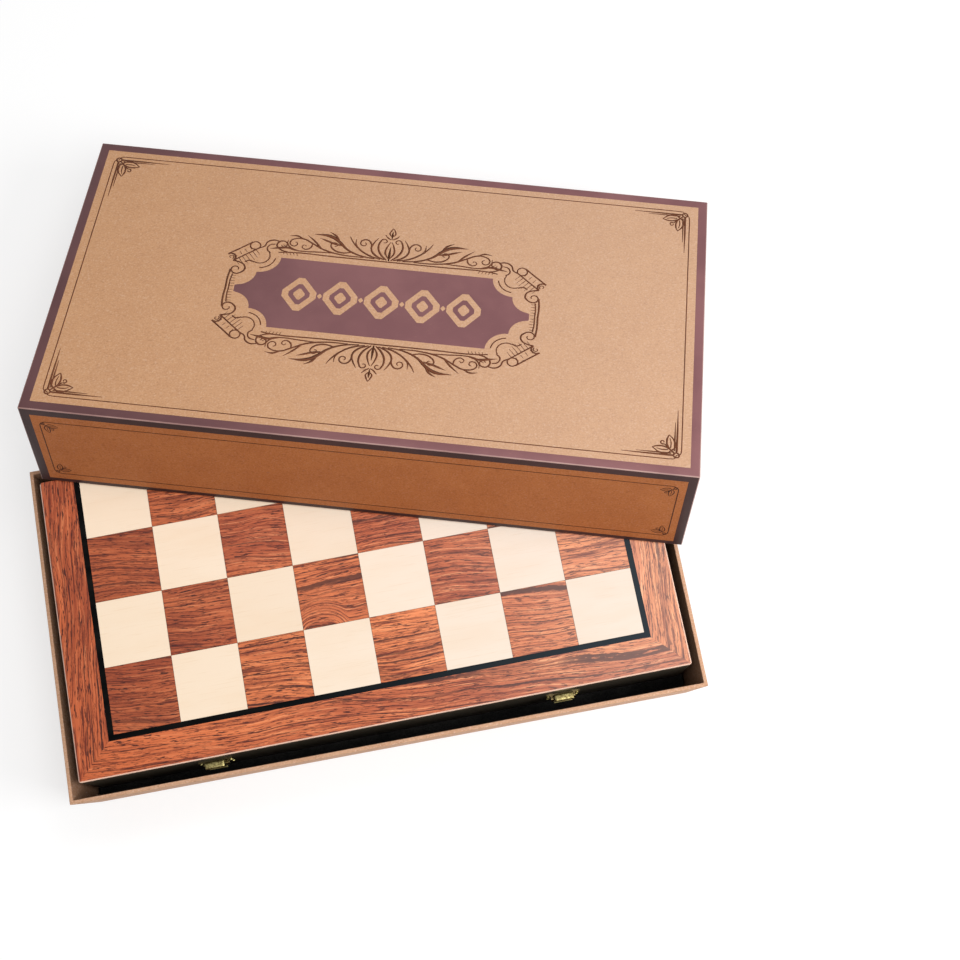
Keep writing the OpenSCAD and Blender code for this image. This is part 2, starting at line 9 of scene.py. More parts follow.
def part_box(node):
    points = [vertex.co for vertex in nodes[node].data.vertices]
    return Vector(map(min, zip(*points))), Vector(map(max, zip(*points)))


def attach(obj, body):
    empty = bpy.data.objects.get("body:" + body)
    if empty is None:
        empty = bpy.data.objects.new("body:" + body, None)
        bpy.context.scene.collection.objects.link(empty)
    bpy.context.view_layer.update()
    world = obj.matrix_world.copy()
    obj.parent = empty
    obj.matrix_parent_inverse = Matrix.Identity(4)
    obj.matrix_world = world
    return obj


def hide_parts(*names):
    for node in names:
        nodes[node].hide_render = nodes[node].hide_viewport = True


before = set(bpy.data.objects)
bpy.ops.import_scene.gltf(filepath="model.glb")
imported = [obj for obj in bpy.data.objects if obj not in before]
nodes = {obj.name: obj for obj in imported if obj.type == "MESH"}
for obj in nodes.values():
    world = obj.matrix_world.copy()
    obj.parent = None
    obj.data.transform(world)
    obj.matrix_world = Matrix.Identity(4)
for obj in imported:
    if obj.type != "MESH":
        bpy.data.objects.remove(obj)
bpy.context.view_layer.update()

# Measures are in millimetres, in the frame of the CAD model. Turns are in degrees, apart from
# the lid's lean, which is worked out in radians. BOARD is the carton's thickness.
MM = 0.001
CASE_X = -0.5
FOLD_Y = 97.1
SEAM_Z = 44.4
SQUARE = 41.4
LATCH_OUT = 110.0
TRAY_SIZE = (397.5, 212.4, 67.5)
TRAY_TURN = -0.46
TRAY_LEAN = 4.0
LID_SIZE = (406.2, 221.1, 76.7)
LID_TURN = -16.97
BOARD = 2.5
CASE_TOP = 74.4
REST_GAP = 0.3
LID_LEAN = math.asin((CASE_TOP - REST_GAP / 2) / (LID_SIZE[1] - BOARD))
LID_CORNER = Vector((5.65, 39.85, CASE_TOP + REST_GAP + BOARD * math.sin(LID_LEAN)))
BAND = 6.0
LOWER_BAND = 3.6
LID_FOLD = 0.6
TRAY_FOLD = 0.55

# The field of squares, the knot in one of them, the paint on the border's sides and the pale
# painted highlight on its arris, whose heights are counted from the seam between the two halves.
FIELD_LEFT = CASE_X - 4 * SQUARE
FIELD_FRONT = FOLD_Y - 4 * SQUARE
KNOT_X = -30.0
KNOT_Y = -25.0
KNOT_FRONT = FOLD_Y - 3 * SQUARE
KNOT_REACH = 18.0
KNOT_DEPTH = 10.0
PAINT_FULL = 28.9
PAINT_GONE = 29.1
ARRIS_LOW = 29.86
ARRIS_HIGH = 29.97

# The lid's print: half widths of its lines, and where the frames and the plaque sit.
TOP_LINE = 0.42
PLAQUE_LINE = 0.5
WALL_LINE = 0.4
INK_FLATNESS = 0.08
INK_LIFT = 0.02
TOP_FRAME_GAP = (11.6, 11.0)
WALL_FRAME_GAP = 10.6
WALL_FRAME_MIDDLE = 36.9
WALL_FRAME_RISE = 27.6
WALL_SPRIG_SIZE = 0.62
WALL_SPRIG_STROKES = 9
PLAQUE_MIDDLE = 107.8
LOZENGE_PITCH = 26.0

# The raised covers over the latches' pins.
COVER_HALF_WIDTH = 6.1
COVER_FRONT = -98.9
COVER_BACK = -94.2
COVER_FOOT = 51.2
COVER_TOP = 60.0

# The camera, solved from the corners of the squares, the tray and the lid.
CAMERA_PLACE = (37.68, -188.42, 1051.56)
CAMERA_FORWARD = (0.04571, 0.23322, -0.97135)
CAMERA_UPWARD = (0.18448, 0.95367, 0.23765)
CAMERA_LENS = 59.498


def lid_place():
    """The lid's own frame: middle of its lower front edge, leaning back on the case."""
    turn = Matrix.Rotation(math.radians(LID_TURN), 4, "Z")
    lean = Matrix.Rotation(-LID_LEAN, 4, "X")
    return Matrix.Translation(LID_CORNER * MM) @ turn @ lean


def tray_place():
    """The tray's own frame: middle of its underside."""
    return Matrix.Rotation(math.radians(TRAY_TURN), 4, "Z")


# ---------------------------------------------------------------- finishes


def tone(red, green, blue):
    """A colour as it looks on a screen, 0 to 255, in Blender's own values."""
    out = []
    for part in (red, green, blue):
        share = part / 255
        if share <= 0.04045:
            out.append(share / 12.92)
        else:
            out.append(((share + 0.055) / 1.055) ** 2.4)
    return (out[0], out[1], out[2], 1.0)


def grey(share):
    return (share, share, share, 1.0)


WHITE = grey(1.0)
BLACK_PAINT = tone(66, 62, 52)
WOOD_PALE = tone(212, 120, 74)
WOOD_DEEP = tone(166, 80, 50)
WOOD_STREAK = tone(130, 54, 34)
WOOD_PALE_FIBRE = tone(238, 160, 112)
WOOD_DARK_FIBRE = tone(96, 32, 20)
WOOD_THIN_LINE = tone(96, 34, 20)
WOOD_FIGURE = tone(54, 16, 12)
WOOD_PORE = tone(64, 20, 14)
# A pale pink painted sheen, laid over the wood's right end.
WOOD_PAINTED_SHEEN = tone(250, 214, 200)
WOOD_ARRIS_HIGHLIGHT = tone(240, 204, 182)


class Finish:
    """One material, built node by node on the piece's Object coordinates."""

    def __init__(self, name, **shader):
        self.material = bpy.data.materials.new(name)
        self.material.use_nodes = True
        self.tree = self.material.node_tree
        self.tree.nodes.clear()
        self.output = self.tree.nodes.new("ShaderNodeOutputMaterial")
        self.shader = self.tree.nodes.new("ShaderNodeBsdfPrincipled")
        self.wire(self.output.inputs["Surface"], self.shader.outputs["BSDF"])
        self.coords = self.tree.nodes.new("ShaderNodeTexCoord").outputs["Object"]
        for label, value in shader.items():
            self.shader.inputs[label.replace("_", " ")].default_value = value

    def wire(self, socket, value):
        if isinstance(value, bpy.types.NodeSocket):
            self.tree.links.new(value, socket)
        else:
            socket.default_value = value

    def node(self, kind, values, **settings):
        node = self.tree.nodes.new("ShaderNode" + kind)
        for label, value in settings.items():
            setattr(node, label, value)
        for label, value in values.items():
            self.wire(node.inputs[label], value)
        return node

    def math(self, operation, first, second=0.0, third=0.0):
        values = {0: first, 1: second, 2: third}
        return self.node("Math", values, operation=operation).outputs[0]

    def vector(self, operation, first, second=(0.0, 0.0, 0.0)):
        values = {0: first, 1: second}
        return self.node("VectorMath", values, operation=operation).outputs[0]

    def split(self, vector):
        parts = self.node("SeparateXYZ", {0: vector})
        return parts.outputs[0], parts.outputs[1], parts.outputs[2]

    def join(self, x, y, z):
        return self.node("CombineXYZ", {0: x, 1: y, 2: z}).outputs[0]

    def stretched(self, scale, vector=None, turn=(0.0, 0.0, 0.0)):
        values = {"Vector": vector or self.coords, "Scale": scale, "Rotation": turn}
        return self.node("Mapping", values).outputs[0]

    def noise(self, vector, scale, detail, roughness=0.5, distortion=0.0):
        values = {"Vector": vector, "Scale": scale, "Detail": detail}
        values["Roughness"] = roughness
        values["Distortion"] = distortion
        return self.node("TexNoise", values).outputs[0]

    def fade(self, value, low, high, out_low=0.0, out_high=1.0):
        values = {"Value": value, "From Min": low, "From Max": high}
        values["To Min"] = out_low
        values["To Max"] = out_high
        node = self.node("MapRange", values, interpolation_type="SMOOTHSTEP")
        return node.outputs[0]

    def mix(self, factor, first, second, blend="MIX"):
        values = {0: factor, 6: first, 7: second}
        node = self.node("Mix", values, data_type="RGBA", blend_type=blend)
        return node.outputs[2]

    def colour(self, value):
        self.wire(self.shader.inputs["Base Color"], value)

    def roughness(self, value):
        self.wire(self.shader.inputs["Roughness"], value)

    def bump(self, height, strength, distance):
        values = {"Height": height, "Strength": strength, "Distance": distance}
        node = self.node("Bump", values)
        self.wire(self.shader.inputs["Normal"], node.outputs[0])


def kraft(name, light, dark, speck, speckle=0.55, pale_share=0.4, painted_light=0.0):
    """Brown wrapping paper: clouded tone, short fibres and fine darker and lighter specks.
    The last value paints light on the paper: it gets a little paler towards its right end."""
    paper = Finish(name, Roughness=0.72, Specular_IOR_Level=0.3)
    cloud = paper.noise(paper.coords, 45.0, 4.0, 0.75)
    base = paper.mix(paper.fade(cloud, 0.2, 0.8), dark, light)
    fibre = paper.noise(paper.stretched((420.0, 1100.0, 700.0)), 1.0, 3.0, 0.62, 1.4)
    base = paper.mix(paper.fade(fibre, 0.52, 0.72, 0.0, speckle), base, speck)
    fleck = paper.noise(paper.coords, 900.0, 2.0, 0.6)
    pale = paper.mix(0.3, light, WHITE)
    base = paper.mix(paper.fade(fleck, 0.52, 0.7, 0.0, pale_share), base, pale)
    base = paper.mix(paper.fade(fleck, 0.46, 0.3, 0.0, 0.4), base, speck)
    if painted_light:
        # Painted light: the paper turns paler towards the right end.
        side = paper.split(paper.coords)[0]
        base = paper.mix(paper.fade(side, -0.15, 0.2, 0.0, painted_light), base, WHITE)
    paper.colour(base)
    paper.bump(fibre, 0.25, 0.00012)
    return paper.material


def printed_band(name, light, dark, shine=0.45, painted_shade_and_light=False):
    """Print on the same paper: the fibres still show a little through the ink.
    With the last choice set, the print carries painted shade, deeper at the lid's left end, and painted
    light, paler from the middle on."""
    band = Finish(name, Roughness=0.5, Specular_IOR_Level=shine)
    cloud = band.noise(band.coords, 22.0, 3.0, 0.55)
    base = band.mix(band.fade(cloud, 0.32, 0.68), dark, light)
    fibre = band.noise(band.stretched((420.0, 1100.0, 700.0)), 1.0, 3.0, 0.62, 1.4)
    worn = band.mix(0.5, light, tone(176, 134, 112))
    base = band.mix(band.fade(fibre, 0.6, 0.78, 0.0, 0.3), base, worn)
    if painted_shade_and_light:
        # Painted shade at the lid's left end, painted light from the middle on.
        side = band.split(band.coords)[0]
        depth = band.fade(side, -0.16, 0.06, 0.64, 1.18)
        base = band.mix(1.0, base, band.join(depth, depth, depth), "MULTIPLY")
    band.colour(base)
    band.bump(fibre, 0.18, 0.0001)
    return band.material


def square_lots(finish, grain):
    """Random values, each the same all over one square of the board."""
    size = SQUARE * MM
    shifted = finish.vector("SUBTRACT", grain, (FIELD_LEFT * MM, FIELD_FRONT * MM, 0.0))
    index = finish.vector("FLOOR", finish.vector("DIVIDE", shifted, (size, size, 1.0)))
    return finish.node("TexWhiteNoise", {"Vector": index}, noise_dimensions="3D").outputs


def knot_bend(wood, across):
    """Lifts the figure lines over the knot, inside its own square; also gives the lift's share."""
    spot = wood.vector("SUBTRACT", wood.coords, (KNOT_X * MM, KNOT_Y * MM, 0.0))
    off_x, off_y = wood.split(spot)[:2]
    squared = wood.math("MULTIPLY", off_y, off_y)
    apart = wood.math("MULTIPLY_ADD", off_x, off_x, squared)
    swell = wood.fade(apart, (KNOT_REACH * MM) ** 2, 0.0)
    front = KNOT_FRONT - KNOT_Y
    swell = wood.math("MULTIPLY", swell, wood.fade(off_y, (front - 0.2) * MM, front * MM))
    bent = wood.math("SUBTRACT", across, wood.math("MULTIPLY", swell, KNOT_DEPTH * MM))
    return bent, swell


def painted_sides(wood, base):
    """Black paint on the sides of a border member, below an arris that carries a pale painted highlight.
    """
    height = wood.split(wood.coords)[2]
    from_seam = wood.math("ABSOLUTE", wood.math("SUBTRACT", height, SEAM_Z * MM))
    # Painted highlight: a pale line along the rounded arris.
    painted_highlight = wood.fade(from_seam, ARRIS_HIGH * MM, ARRIS_LOW * MM, 0.0, 0.8)
    base = wood.mix(painted_highlight, base, WOOD_ARRIS_HIGHLIGHT)
    painted = wood.fade(from_seam, PAINT_FULL * MM, PAINT_GONE * MM, 1.0, 0.0)
    base = wood.mix(painted, base, BLACK_PAINT)
    gloss = wood.fade(from_seam, PAINT_FULL * MM, PAINT_GONE * MM, 0.5, 0.3)
    wood.wire(wood.shader.inputs["Specular IOR Level"], gloss)
    return base


def rosewood(name, along, left, right, squares=False, black_sides=False):
    """Oiled rosewood. Dark figure lines are the contours of a slow stretched field; fine fibres
    and short pores run along the grain, whose axis is given. Left and right are painted light
    tints for the case's two ends: painted shade makes the wood darker at the left, and painted
    light with a pale painted sheen makes it paler at the right.
    With squares every square is cut from other wood, and one of them has a knot.
    With black sides the edge below the arris, whose pale line is a painted highlight, is painted
    like the rails."""
    wood = Finish(name, Specular_IOR_Level=0.3)
    turn = (0.0, 0.0, 0.0) if along == "X" else (0.0, 0.0, math.radians(90.0))
    grain = wood.stretched((1.0, 1.0, 1.0), turn=turn)
    shade = wood.noise(wood.stretched((5.0, 30.0, 5.0), grain), 1.0, 1.0)
    bold = wood.noise(wood.stretched((5.0, 9.0, 5.0), grain), 1.0, 1.0)
    if squares:
        lot = square_lots(wood, grain)
        away = wood.vector("MULTIPLY", lot["Color"], (3.0, 3.0, 3.0))
        grain = wood.vector("ADD", grain, away)
        own = wood.math("MULTIPLY", lot["Value"], 0.4)
        shade = wood.math("ADD", wood.math("MULTIPLY", shade, 0.6), own)
        bold = wood.split(lot["Color"])[1]
    bend = wood.noise(wood.stretched((9.0, 14.0, 9.0), grain), 1.0, 2.0, 0.5)
    x, y, z = wood.split(grain)
    drift = wood.math("MULTIPLY", wood.math("SUBTRACT", bend, 0.5), 0.02)
    across = wood.math("ADD", wood.math("ADD", y, drift), wood.math("MULTIPLY", x, 0.06))
    if squares:
        across, swell = knot_bend(wood, across)

    # Bold figure lines: a saw wave over the bent field, each line shown along part of its run.
    uneven = wood.noise(wood.join(0.0, wood.math("MULTIPLY", across, 95.0), 0.0), 1.0, 1.0)
    ring = wood.math("ADD", wood.math("MULTIPLY", across, 210.0), wood.math("MULTIPLY", uneven, 4.0))
    jag = wood.noise(wood.stretched((160.0, 700.0, 500.0), grain), 1.0, 3.0, 0.65)
    wobble = wood.math("MULTIPLY", wood.math("SUBTRACT", jag, 0.5), 0.3)
    saw = wood.math("FRACT", wood.math("ADD", ring, wobble))
    line = wood.math("MULTIPLY", wood.fade(saw, 0.76, 0.9), wood.fade(saw, 1.0, 0.96))
    row = wood.math("FLOOR", ring)
    which = wood.noise(wood.join(wood.math("MULTIPLY", x, 16.0), row, 0.3), 1.0, 0.0)
    shown = wood.fade(which, 0.34, 0.6, 0.25, 1.0)
    if squares:
        shown = wood.math("MAXIMUM", shown, wood.fade(swell, 0.05, 0.3, 0.0, 0.85))
    line = wood.math("MULTIPLY", line, shown)
    line = wood.math("MULTIPLY", line, wood.fade(bold, 0.2, 0.8, 0.6, 1.0))
    thin = wood.math("ADD", wood.math("MULTIPLY", ring, 3.3), wood.math("MULTIPLY", wobble, 4.0))
    thin = wood.fade(wood.math("FRACT", thin), 0.62, 0.95)
    thin = wood.math("MULTIPLY", thin, wood.fade(jag, 0.42, 0.6, 0.0, 0.72))

    # Tone, soft streaks, pale and dark fibres, lines and pores, in that order.
    lay = wood.join(x, across, z)
    fibre = wood.noise(wood.stretched((26.0, 760.0, 500.0), lay), 1.0, 4.0, 0.72)
    base = wood.mix(wood.fade(shade, 0.3, 0.72), WOOD_PALE, WOOD_DEEP)
    soft = wood.noise(wood.stretched((12.0, 120.0, 60.0), lay), 1.0, 3.0, 0.6)
    base = wood.mix(wood.fade(soft, 0.44, 0.7, 0.0, 0.55), base, WOOD_STREAK)
    base = wood.mix(wood.fade(fibre, 0.53, 0.68, 0.0, 0.55), base, WOOD_PALE_FIBRE)
    base = wood.mix(wood.fade(fibre, 0.48, 0.36, 0.0, 0.95), base, WOOD_DARK_FIBRE)
    base = wood.mix(thin, base, WOOD_THIN_LINE)
    base = wood.mix(line, base, WOOD_FIGURE)
    pore = wood.noise(wood.stretched((150.0, 1500.0, 1200.0), lay), 1.0, 2.0, 0.6)
    base = wood.mix(wood.fade(pore, 0.56, 0.63, 0.0, 0.95), base, WOOD_PORE)
    # Painted shade darkens the left end and painted light pales the right end, with a pale painted sheen
    # on the right.
    side = wood.split(wood.coords)[0]
    left_painted_shade_tint = wood.mix(wood.fade(side, -0.2, 0.02), left, MIDDLE_PAINTED_LIGHT_TINT)
    painted_light_tint = wood.mix(wood.fade(side, -0.02, 0.2), left_painted_shade_tint, right)
    base = wood.mix(1.0, base, painted_light_tint, "MULTIPLY")
    base = wood.mix(wood.fade(side, 0.0, 0.2, 0.0, 0.1), base, WOOD_PAINTED_SHEEN)
    if black_sides:
        base = painted_sides(wood, base)
    wood.colour(base)
    wood.roughness(wood.fade(fibre, 0.3, 0.7, 0.42, 0.32))
    wood.bump(wood.math("SUBTRACT", fibre, wood.math("MULTIPLY", line, 0.5)), 0.12, 0.00012)
    return wood.material


def maple(name):
    """Pale close-grained veneer with faint silky lines, each square a little different.
    The tint from end to end follows the photo's light, warmer at the left."""
    wood = Finish(name, Specular_IOR_Level=0.25)
    lot = square_lots(wood, wood.coords)
    away = wood.vector("MULTIPLY", lot["Color"], (2.0, 2.0, 2.0))
    grain = wood.vector("ADD", wood.coords, away)
    cloud = wood.noise(wood.stretched((14.0, 60.0, 30.0), grain), 1.0, 3.0, 0.55)
    fibre = wood.noise(wood.stretched((50.0, 1300.0, 900.0), grain), 1.0, 3.0, 0.6)
    base = wood.mix(lot["Value"], tone(250, 232, 204), tone(246, 226, 196))
    base = wood.mix(wood.fade(cloud, 0.4, 0.75, 0.0, 0.4), base, tone(242, 216, 180))
    base = wood.mix(wood.fade(fibre, 0.55, 0.75, 0.0, 0.35), base, tone(232, 202, 162))
    side = wood.split(wood.coords)[0]
    painted_light_tint = wood.mix(wood.fade(side, -0.2, 0.2), (0.96, 0.93, 0.95, 1.0), (0.82, 0.85, 0.99, 1.0))
    wood.colour(wood.mix(1.0, base, painted_light_tint, "MULTIPLY"))
    wood.roughness(wood.fade(fibre, 0.3, 0.7, 0.38, 0.46))
    wood.bump(fibre, 0.06, 0.0001)
    return wood.material


def lacquer(name, colour, rough, coat, right=None):
    """Sprayed black lacquer with a faint orange-peel and a little dust of lighter grain.
    A second colour is a painted sheen: the lighter tone that the lacquer takes towards the right end of
    the case."""
    skin = Finish(name, Specular_IOR_Level=coat)
    peel = skin.noise(skin.coords, 900.0, 2.0, 0.5)
    cloud = skin.noise(skin.stretched((12.0, 60.0, 40.0)), 1.0, 3.0, 0.6)
    if right:
        # Painted sheen: lighter towards the case's right end.
        side = skin.split(skin.coords)[0]
        colour = skin.mix(skin.fade(side, -0.1, 0.2), colour, right)
    lighter = skin.mix(0.06, colour, tone(96, 92, 84))
    skin.colour(skin.mix(skin.fade(cloud, 0.35, 0.75), colour, lighter))
    skin.roughness(skin.fade(cloud, 0.3, 0.7, rough, rough + 0.1))
    skin.bump(peel, 0.08, 0.0001)
    return skin.material


def brass(name, light, dark, rough, spot=160.0):
    """Stamped brass: lightly brushed, a little darker in patches."""
    metal = Finish(name, Metallic=1.0)
    brush = metal.noise(metal.stretched((300.0, 4000.0, 4000.0)), 1.0, 2.0, 0.6)
    patch = metal.noise(metal.coords, spot, 3.0, 0.6)
    base = metal.mix(metal.fade(patch, 0.35, 0.7), light, dark)
    metal.colour(base)
    metal.roughness(metal.fade(brush, 0.3, 0.7, rough, rough + 0.16))
    metal.bump(brush, 0.05, 0.00005)
    return metal.material


def foam(name, light, dark):
    """Closed-cell foam: fine cells, dull, a little lighter where it was cut."""
    cell = Finish(name, Roughness=0.94, Specular_IOR_Level=0.2)
    values = {"Vector": cell.coords, "Scale": 900.0}
    bubbles = cell.node("TexVoronoi", values).outputs["Distance"]
    cloud = cell.noise(cell.coords, 60.0, 3.0, 0.6)
    base = cell.mix(cell.fade(cloud, 0.3, 0.7), dark, light)
    base = cell.mix(cell.fade(bubbles, 0.15, 0.6, 0.5, 0.0), base, grey(0.002))
    cell.colour(base)
    cell.bump(bubbles, 0.5, 0.0003)
    return cell.material


def fibreboard(name):
    """Raw brown fibreboard with matted short fibres."""
    panel = Finish(name, Roughness=0.85, Specular_IOR_Level=0.25)
    mat = panel.noise(panel.coords, 500.0, 4.0, 0.7, 1.0)
    cloud = panel.noise(panel.coords, 25.0, 2.0)
    base = panel.mix(panel.fade(cloud, 0.3, 0.7), tone(146, 108, 74), tone(164, 124, 88))
    base = panel.mix(panel.fade(mat, 0.45, 0.75, 0.0, 0.6), base, tone(104, 72, 46))
    panel.colour(base)
    panel.bump(mat, 0.3, 0.0002)
    return panel.material


def turned_wood(name, light, dark, line):
    """Turned and waxed wood of the pieces; the grain runs along each piece, from fold to front."""
    wood = Finish(name, Coat_Weight=0.5, Coat_Roughness=0.12)
    fibre = wood.noise(wood.stretched((1500.0, 60.0, 1500.0)), 1.0, 3.0, 0.6)
    cloud = wood.noise(wood.stretched((160.0, 20.0, 160.0)), 1.0, 2.0, 0.5, 0.6)
    base = wood.mix(wood.fade(cloud, 0.3, 0.7), light, dark)
    base = wood.mix(wood.fade(fibre, 0.52, 0.75, 0.0, 0.6), base, line)
    wood.colour(base)
    wood.roughness(wood.fade(fibre, 0.3, 0.7, 0.34, 0.26))
    wood.bump(fibre, 0.05, 0.00008)
    return wood.material


KRAFT = kraft("lid_kraft", tone(200, 152, 112), tone(194, 146, 107), tone(166, 118, 84), 0.6, 0.3, 0.07)
# The lid's walls take darker, warmer copies of the top's paper, band and ink: painted shade.
KRAFT_SIDE_PAINTED_SHADE = kraft("lid_side_kraft_painted_shade", tone(178, 107, 57), tone(168, 98, 50), tone(130, 70, 34), 0.55, 0.1)
# The tray's inside is the same board, painted darker: painted shade.
BOARD_INSIDE_PAINTED_SHADE = kraft("tray_inside_painted_shade", tone(150, 112, 86), tone(136, 100, 74), tone(110, 78, 56))
BARE = kraft("bare_board", tone(206, 162, 130), tone(192, 146, 114), tone(160, 116, 86))
MAROON = printed_band("maroon_print", tone(124, 84, 85), tone(112, 74, 76), 0.25, painted_shade_and_light=True)
MAROON_SIDE_PAINTED_SHADE = printed_band("maroon_side_print_painted_shade", tone(64, 40, 39), tone(52, 33, 32), 0.25)
# Pale line on the lid's folds: wear of the print, with a painted highlight.
FOLD_WEAR_AND_HIGHLIGHT = printed_band("fold_wear_and_highlight", tone(172, 138, 130), tone(146, 110, 104))
INK = printed_band("printed_line", tone(114, 68, 46), tone(98, 58, 40), 0.1)
SIDE_INK_PAINTED_SHADE = printed_band("printed_side_line_painted_shade", tone(78, 42, 28), tone(66, 36, 24), 0.1)
# Painted light across the case: multipliers that darken the left end as painted shade and lighten the
# middle and right end as painted light.
MIDDLE_PAINTED_LIGHT_TINT = (1.16, 1.16, 1.12, 1.0)
LEFT_PAINTED_SHADE_TINT = (0.74, 0.6, 0.55, 1.0)
RIGHT_PAINTED_LIGHT_TINT = (1.3, 1.7, 1.9, 1.0)
LEFT_EDGE_PAINTED_SHADE = (0.9, 0.72, 0.64, 1.0)
RIGHT_EDGE_PAINTED_LIGHT = (1.4, 2.0, 2.3, 1.0)
BORDER_X = rosewood("border_rosewood_long", "X", LEFT_EDGE_PAINTED_SHADE, RIGHT_EDGE_PAINTED_LIGHT, black_sides=True)
BORDER_Y = rosewood("border_rosewood_short", "Y", LEFT_EDGE_PAINTED_SHADE, RIGHT_EDGE_PAINTED_LIGHT, black_sides=True)
DARK_TILES = rosewood("square_rosewood", "X", LEFT_PAINTED_SHADE_TINT, RIGHT_PAINTED_LIGHT_TINT, squares=True)
LIGHT_TILES = maple("square_maple")
# The inlay's second tone is a painted sheen at the case's right end.
INLAY = lacquer("inlay_black", tone(3, 4, 5), 0.3, 0.03, tone(42, 50, 56))
BLACK = lacquer("black_lacquer", BLACK_PAINT, 0.3, 0.5)
BRASS = brass("latch_brass", tone(204, 192, 132), tone(176, 160, 100), 0.4)
PLATE_BRASS = brass("plate_brass", tone(112, 98, 68), tone(86, 74, 48), 0.1)
BRONZE = brass("catch_bronze", tone(172, 160, 108), tone(96, 80, 46), 0.3, 900.0)
FOAM = foam("foam_black", tone(48, 47, 46), tone(34, 34, 34))
PANEL = fibreboard("panel_board")
DARK_MEN = turned_wood("dark_piece_wood", tone(82, 44, 30), tone(54, 28, 20), tone(36, 18, 14))
LIGHT_MEN = turned_wood("light_piece_wood", tone(232, 198, 146), tone(216, 178, 124), tone(188, 146, 96))


# ---------------------------------------------------------------- modelling helpers


def clear_all():
    if bpy.context.object and bpy.context.object.mode != "OBJECT":
        bpy.ops.object.mode_set(mode="OBJECT")
    bpy.ops.object.select_all(action="DESELECT")


def select_only(piece):
    clear_all()
    piece.select_set(True)
    bpy.context.view_layer.objects.active = piece


def block(name, low, high):
    """A box between two corners in millimetres, to be shaped in edit mode."""
    clear_all()
    bpy.ops.mesh.primitive_cube_add(size=1.0)
    piece = bpy.context.object
    piece.name = name
    piece.data.name = name
    middle = [(a + b) / 2 * MM for a, b in zip(low, high)]
    span = [(b - a) * MM for a, b in zip(low, high)]
    bpy.ops.transform.resize(value=span)
    bpy.ops.transform.translate(value=middle)
    bpy.ops.object.transform_apply(location=True, rotation=True, scale=True)
    return piece


def edit(piece, kind):
    """Leaves nothing selected, with faces or points as what edit mode will select."""
    select_only(piece)
    bpy.ops.object.mode_set(mode="EDIT")
    bpy.ops.mesh.select_mode(type=kind)
    bpy.ops.mesh.select_all(action="DESELECT")
    bpy.ops.object.mode_set(mode="OBJECT")


def pick_faces(piece, wanted):
    """Selects the faces that the test wants, by place (mm) and normal, and opens edit mode."""
    edit(piece, "FACE")
    for face in piece.data.polygons:
        face.select = bool(wanted(face.center / MM, face.normal))
    bpy.ops.object.mode_set(mode="EDIT")


def pick_points(piece, wanted):
    """Selects the points that the test wants, by place (mm), and opens edit mode."""
    edit(piece, "VERT")
    for point in piece.data.vertices:
        point.select = bool(wanted(point.co / MM))
    bpy.ops.object.mode_set(mode="EDIT")


def done(piece):
    bpy.ops.object.mode_set(mode="OBJECT")
    select_only(piece)


def modify(piece, kind, **settings):
    """Adds a modifier and applies it at once."""
    select_only(piece)
    bpy.ops.object.modifier_add(type=kind)
    modifier = piece.modifiers[-1]
    for label, value in settings.items():
        setattr(modifier, label, value)
    bpy.ops.object.modifier_apply(modifier=modifier.name)


def rounded(piece, width, angle, segments=3, finish=-1):
    """Rounds the edges; finish is the slot that the rounded edge takes, or -1 for its neighbour's."""
    modify(
        piece, "BEVEL", width=width * MM, segments=segments, limit_method="ANGLE",
        angle_limit=math.radians(angle), material=finish,
    )
    select_only(piece)
    bpy.ops.object.shade_smooth_by_angle(angle=math.radians(30.0))


def outward(piece):
    """Merges doubled points and turns every face outwards."""
    select_only(piece)
    bpy.ops.object.mode_set(mode="EDIT")
    bpy.ops.mesh.select_all(action="SELECT")
    bpy.ops.mesh.remove_doubles(threshold=0.000001)
    bpy.ops.mesh.normals_make_consistent(inside=False)
    done(piece)


def coat(piece, *materials):
    piece.data.materials.clear()
    for material in materials:
        piece.data.materials.append(material)


def settle(piece, place):
    """Puts the place into the mesh, so that the object itself stays at the origin."""
    select_only(piece)
    piece.matrix_world = place
    bpy.ops.object.transform_apply(location=True, rotation=True, scale=True)


# ---------------------------------------------------------------- carton lid and tray


def framed_faces(piece, wanted, band, panel):
    """Prints the wanted faces: a band along their edges, and the panel's paper inside it."""
    finishes = piece.data.materials
    pick_faces(piece, wanted)
    piece.active_material_index = finishes.find(band.name)
    bpy.ops.object.material_slot_assign()
    bpy.ops.mesh.inset(thickness=BAND * MM, use_individual=True)
    piece.active_material_index = finishes.find(panel.name)
    bpy.ops.object.material_slot_assign()
    done(piece)


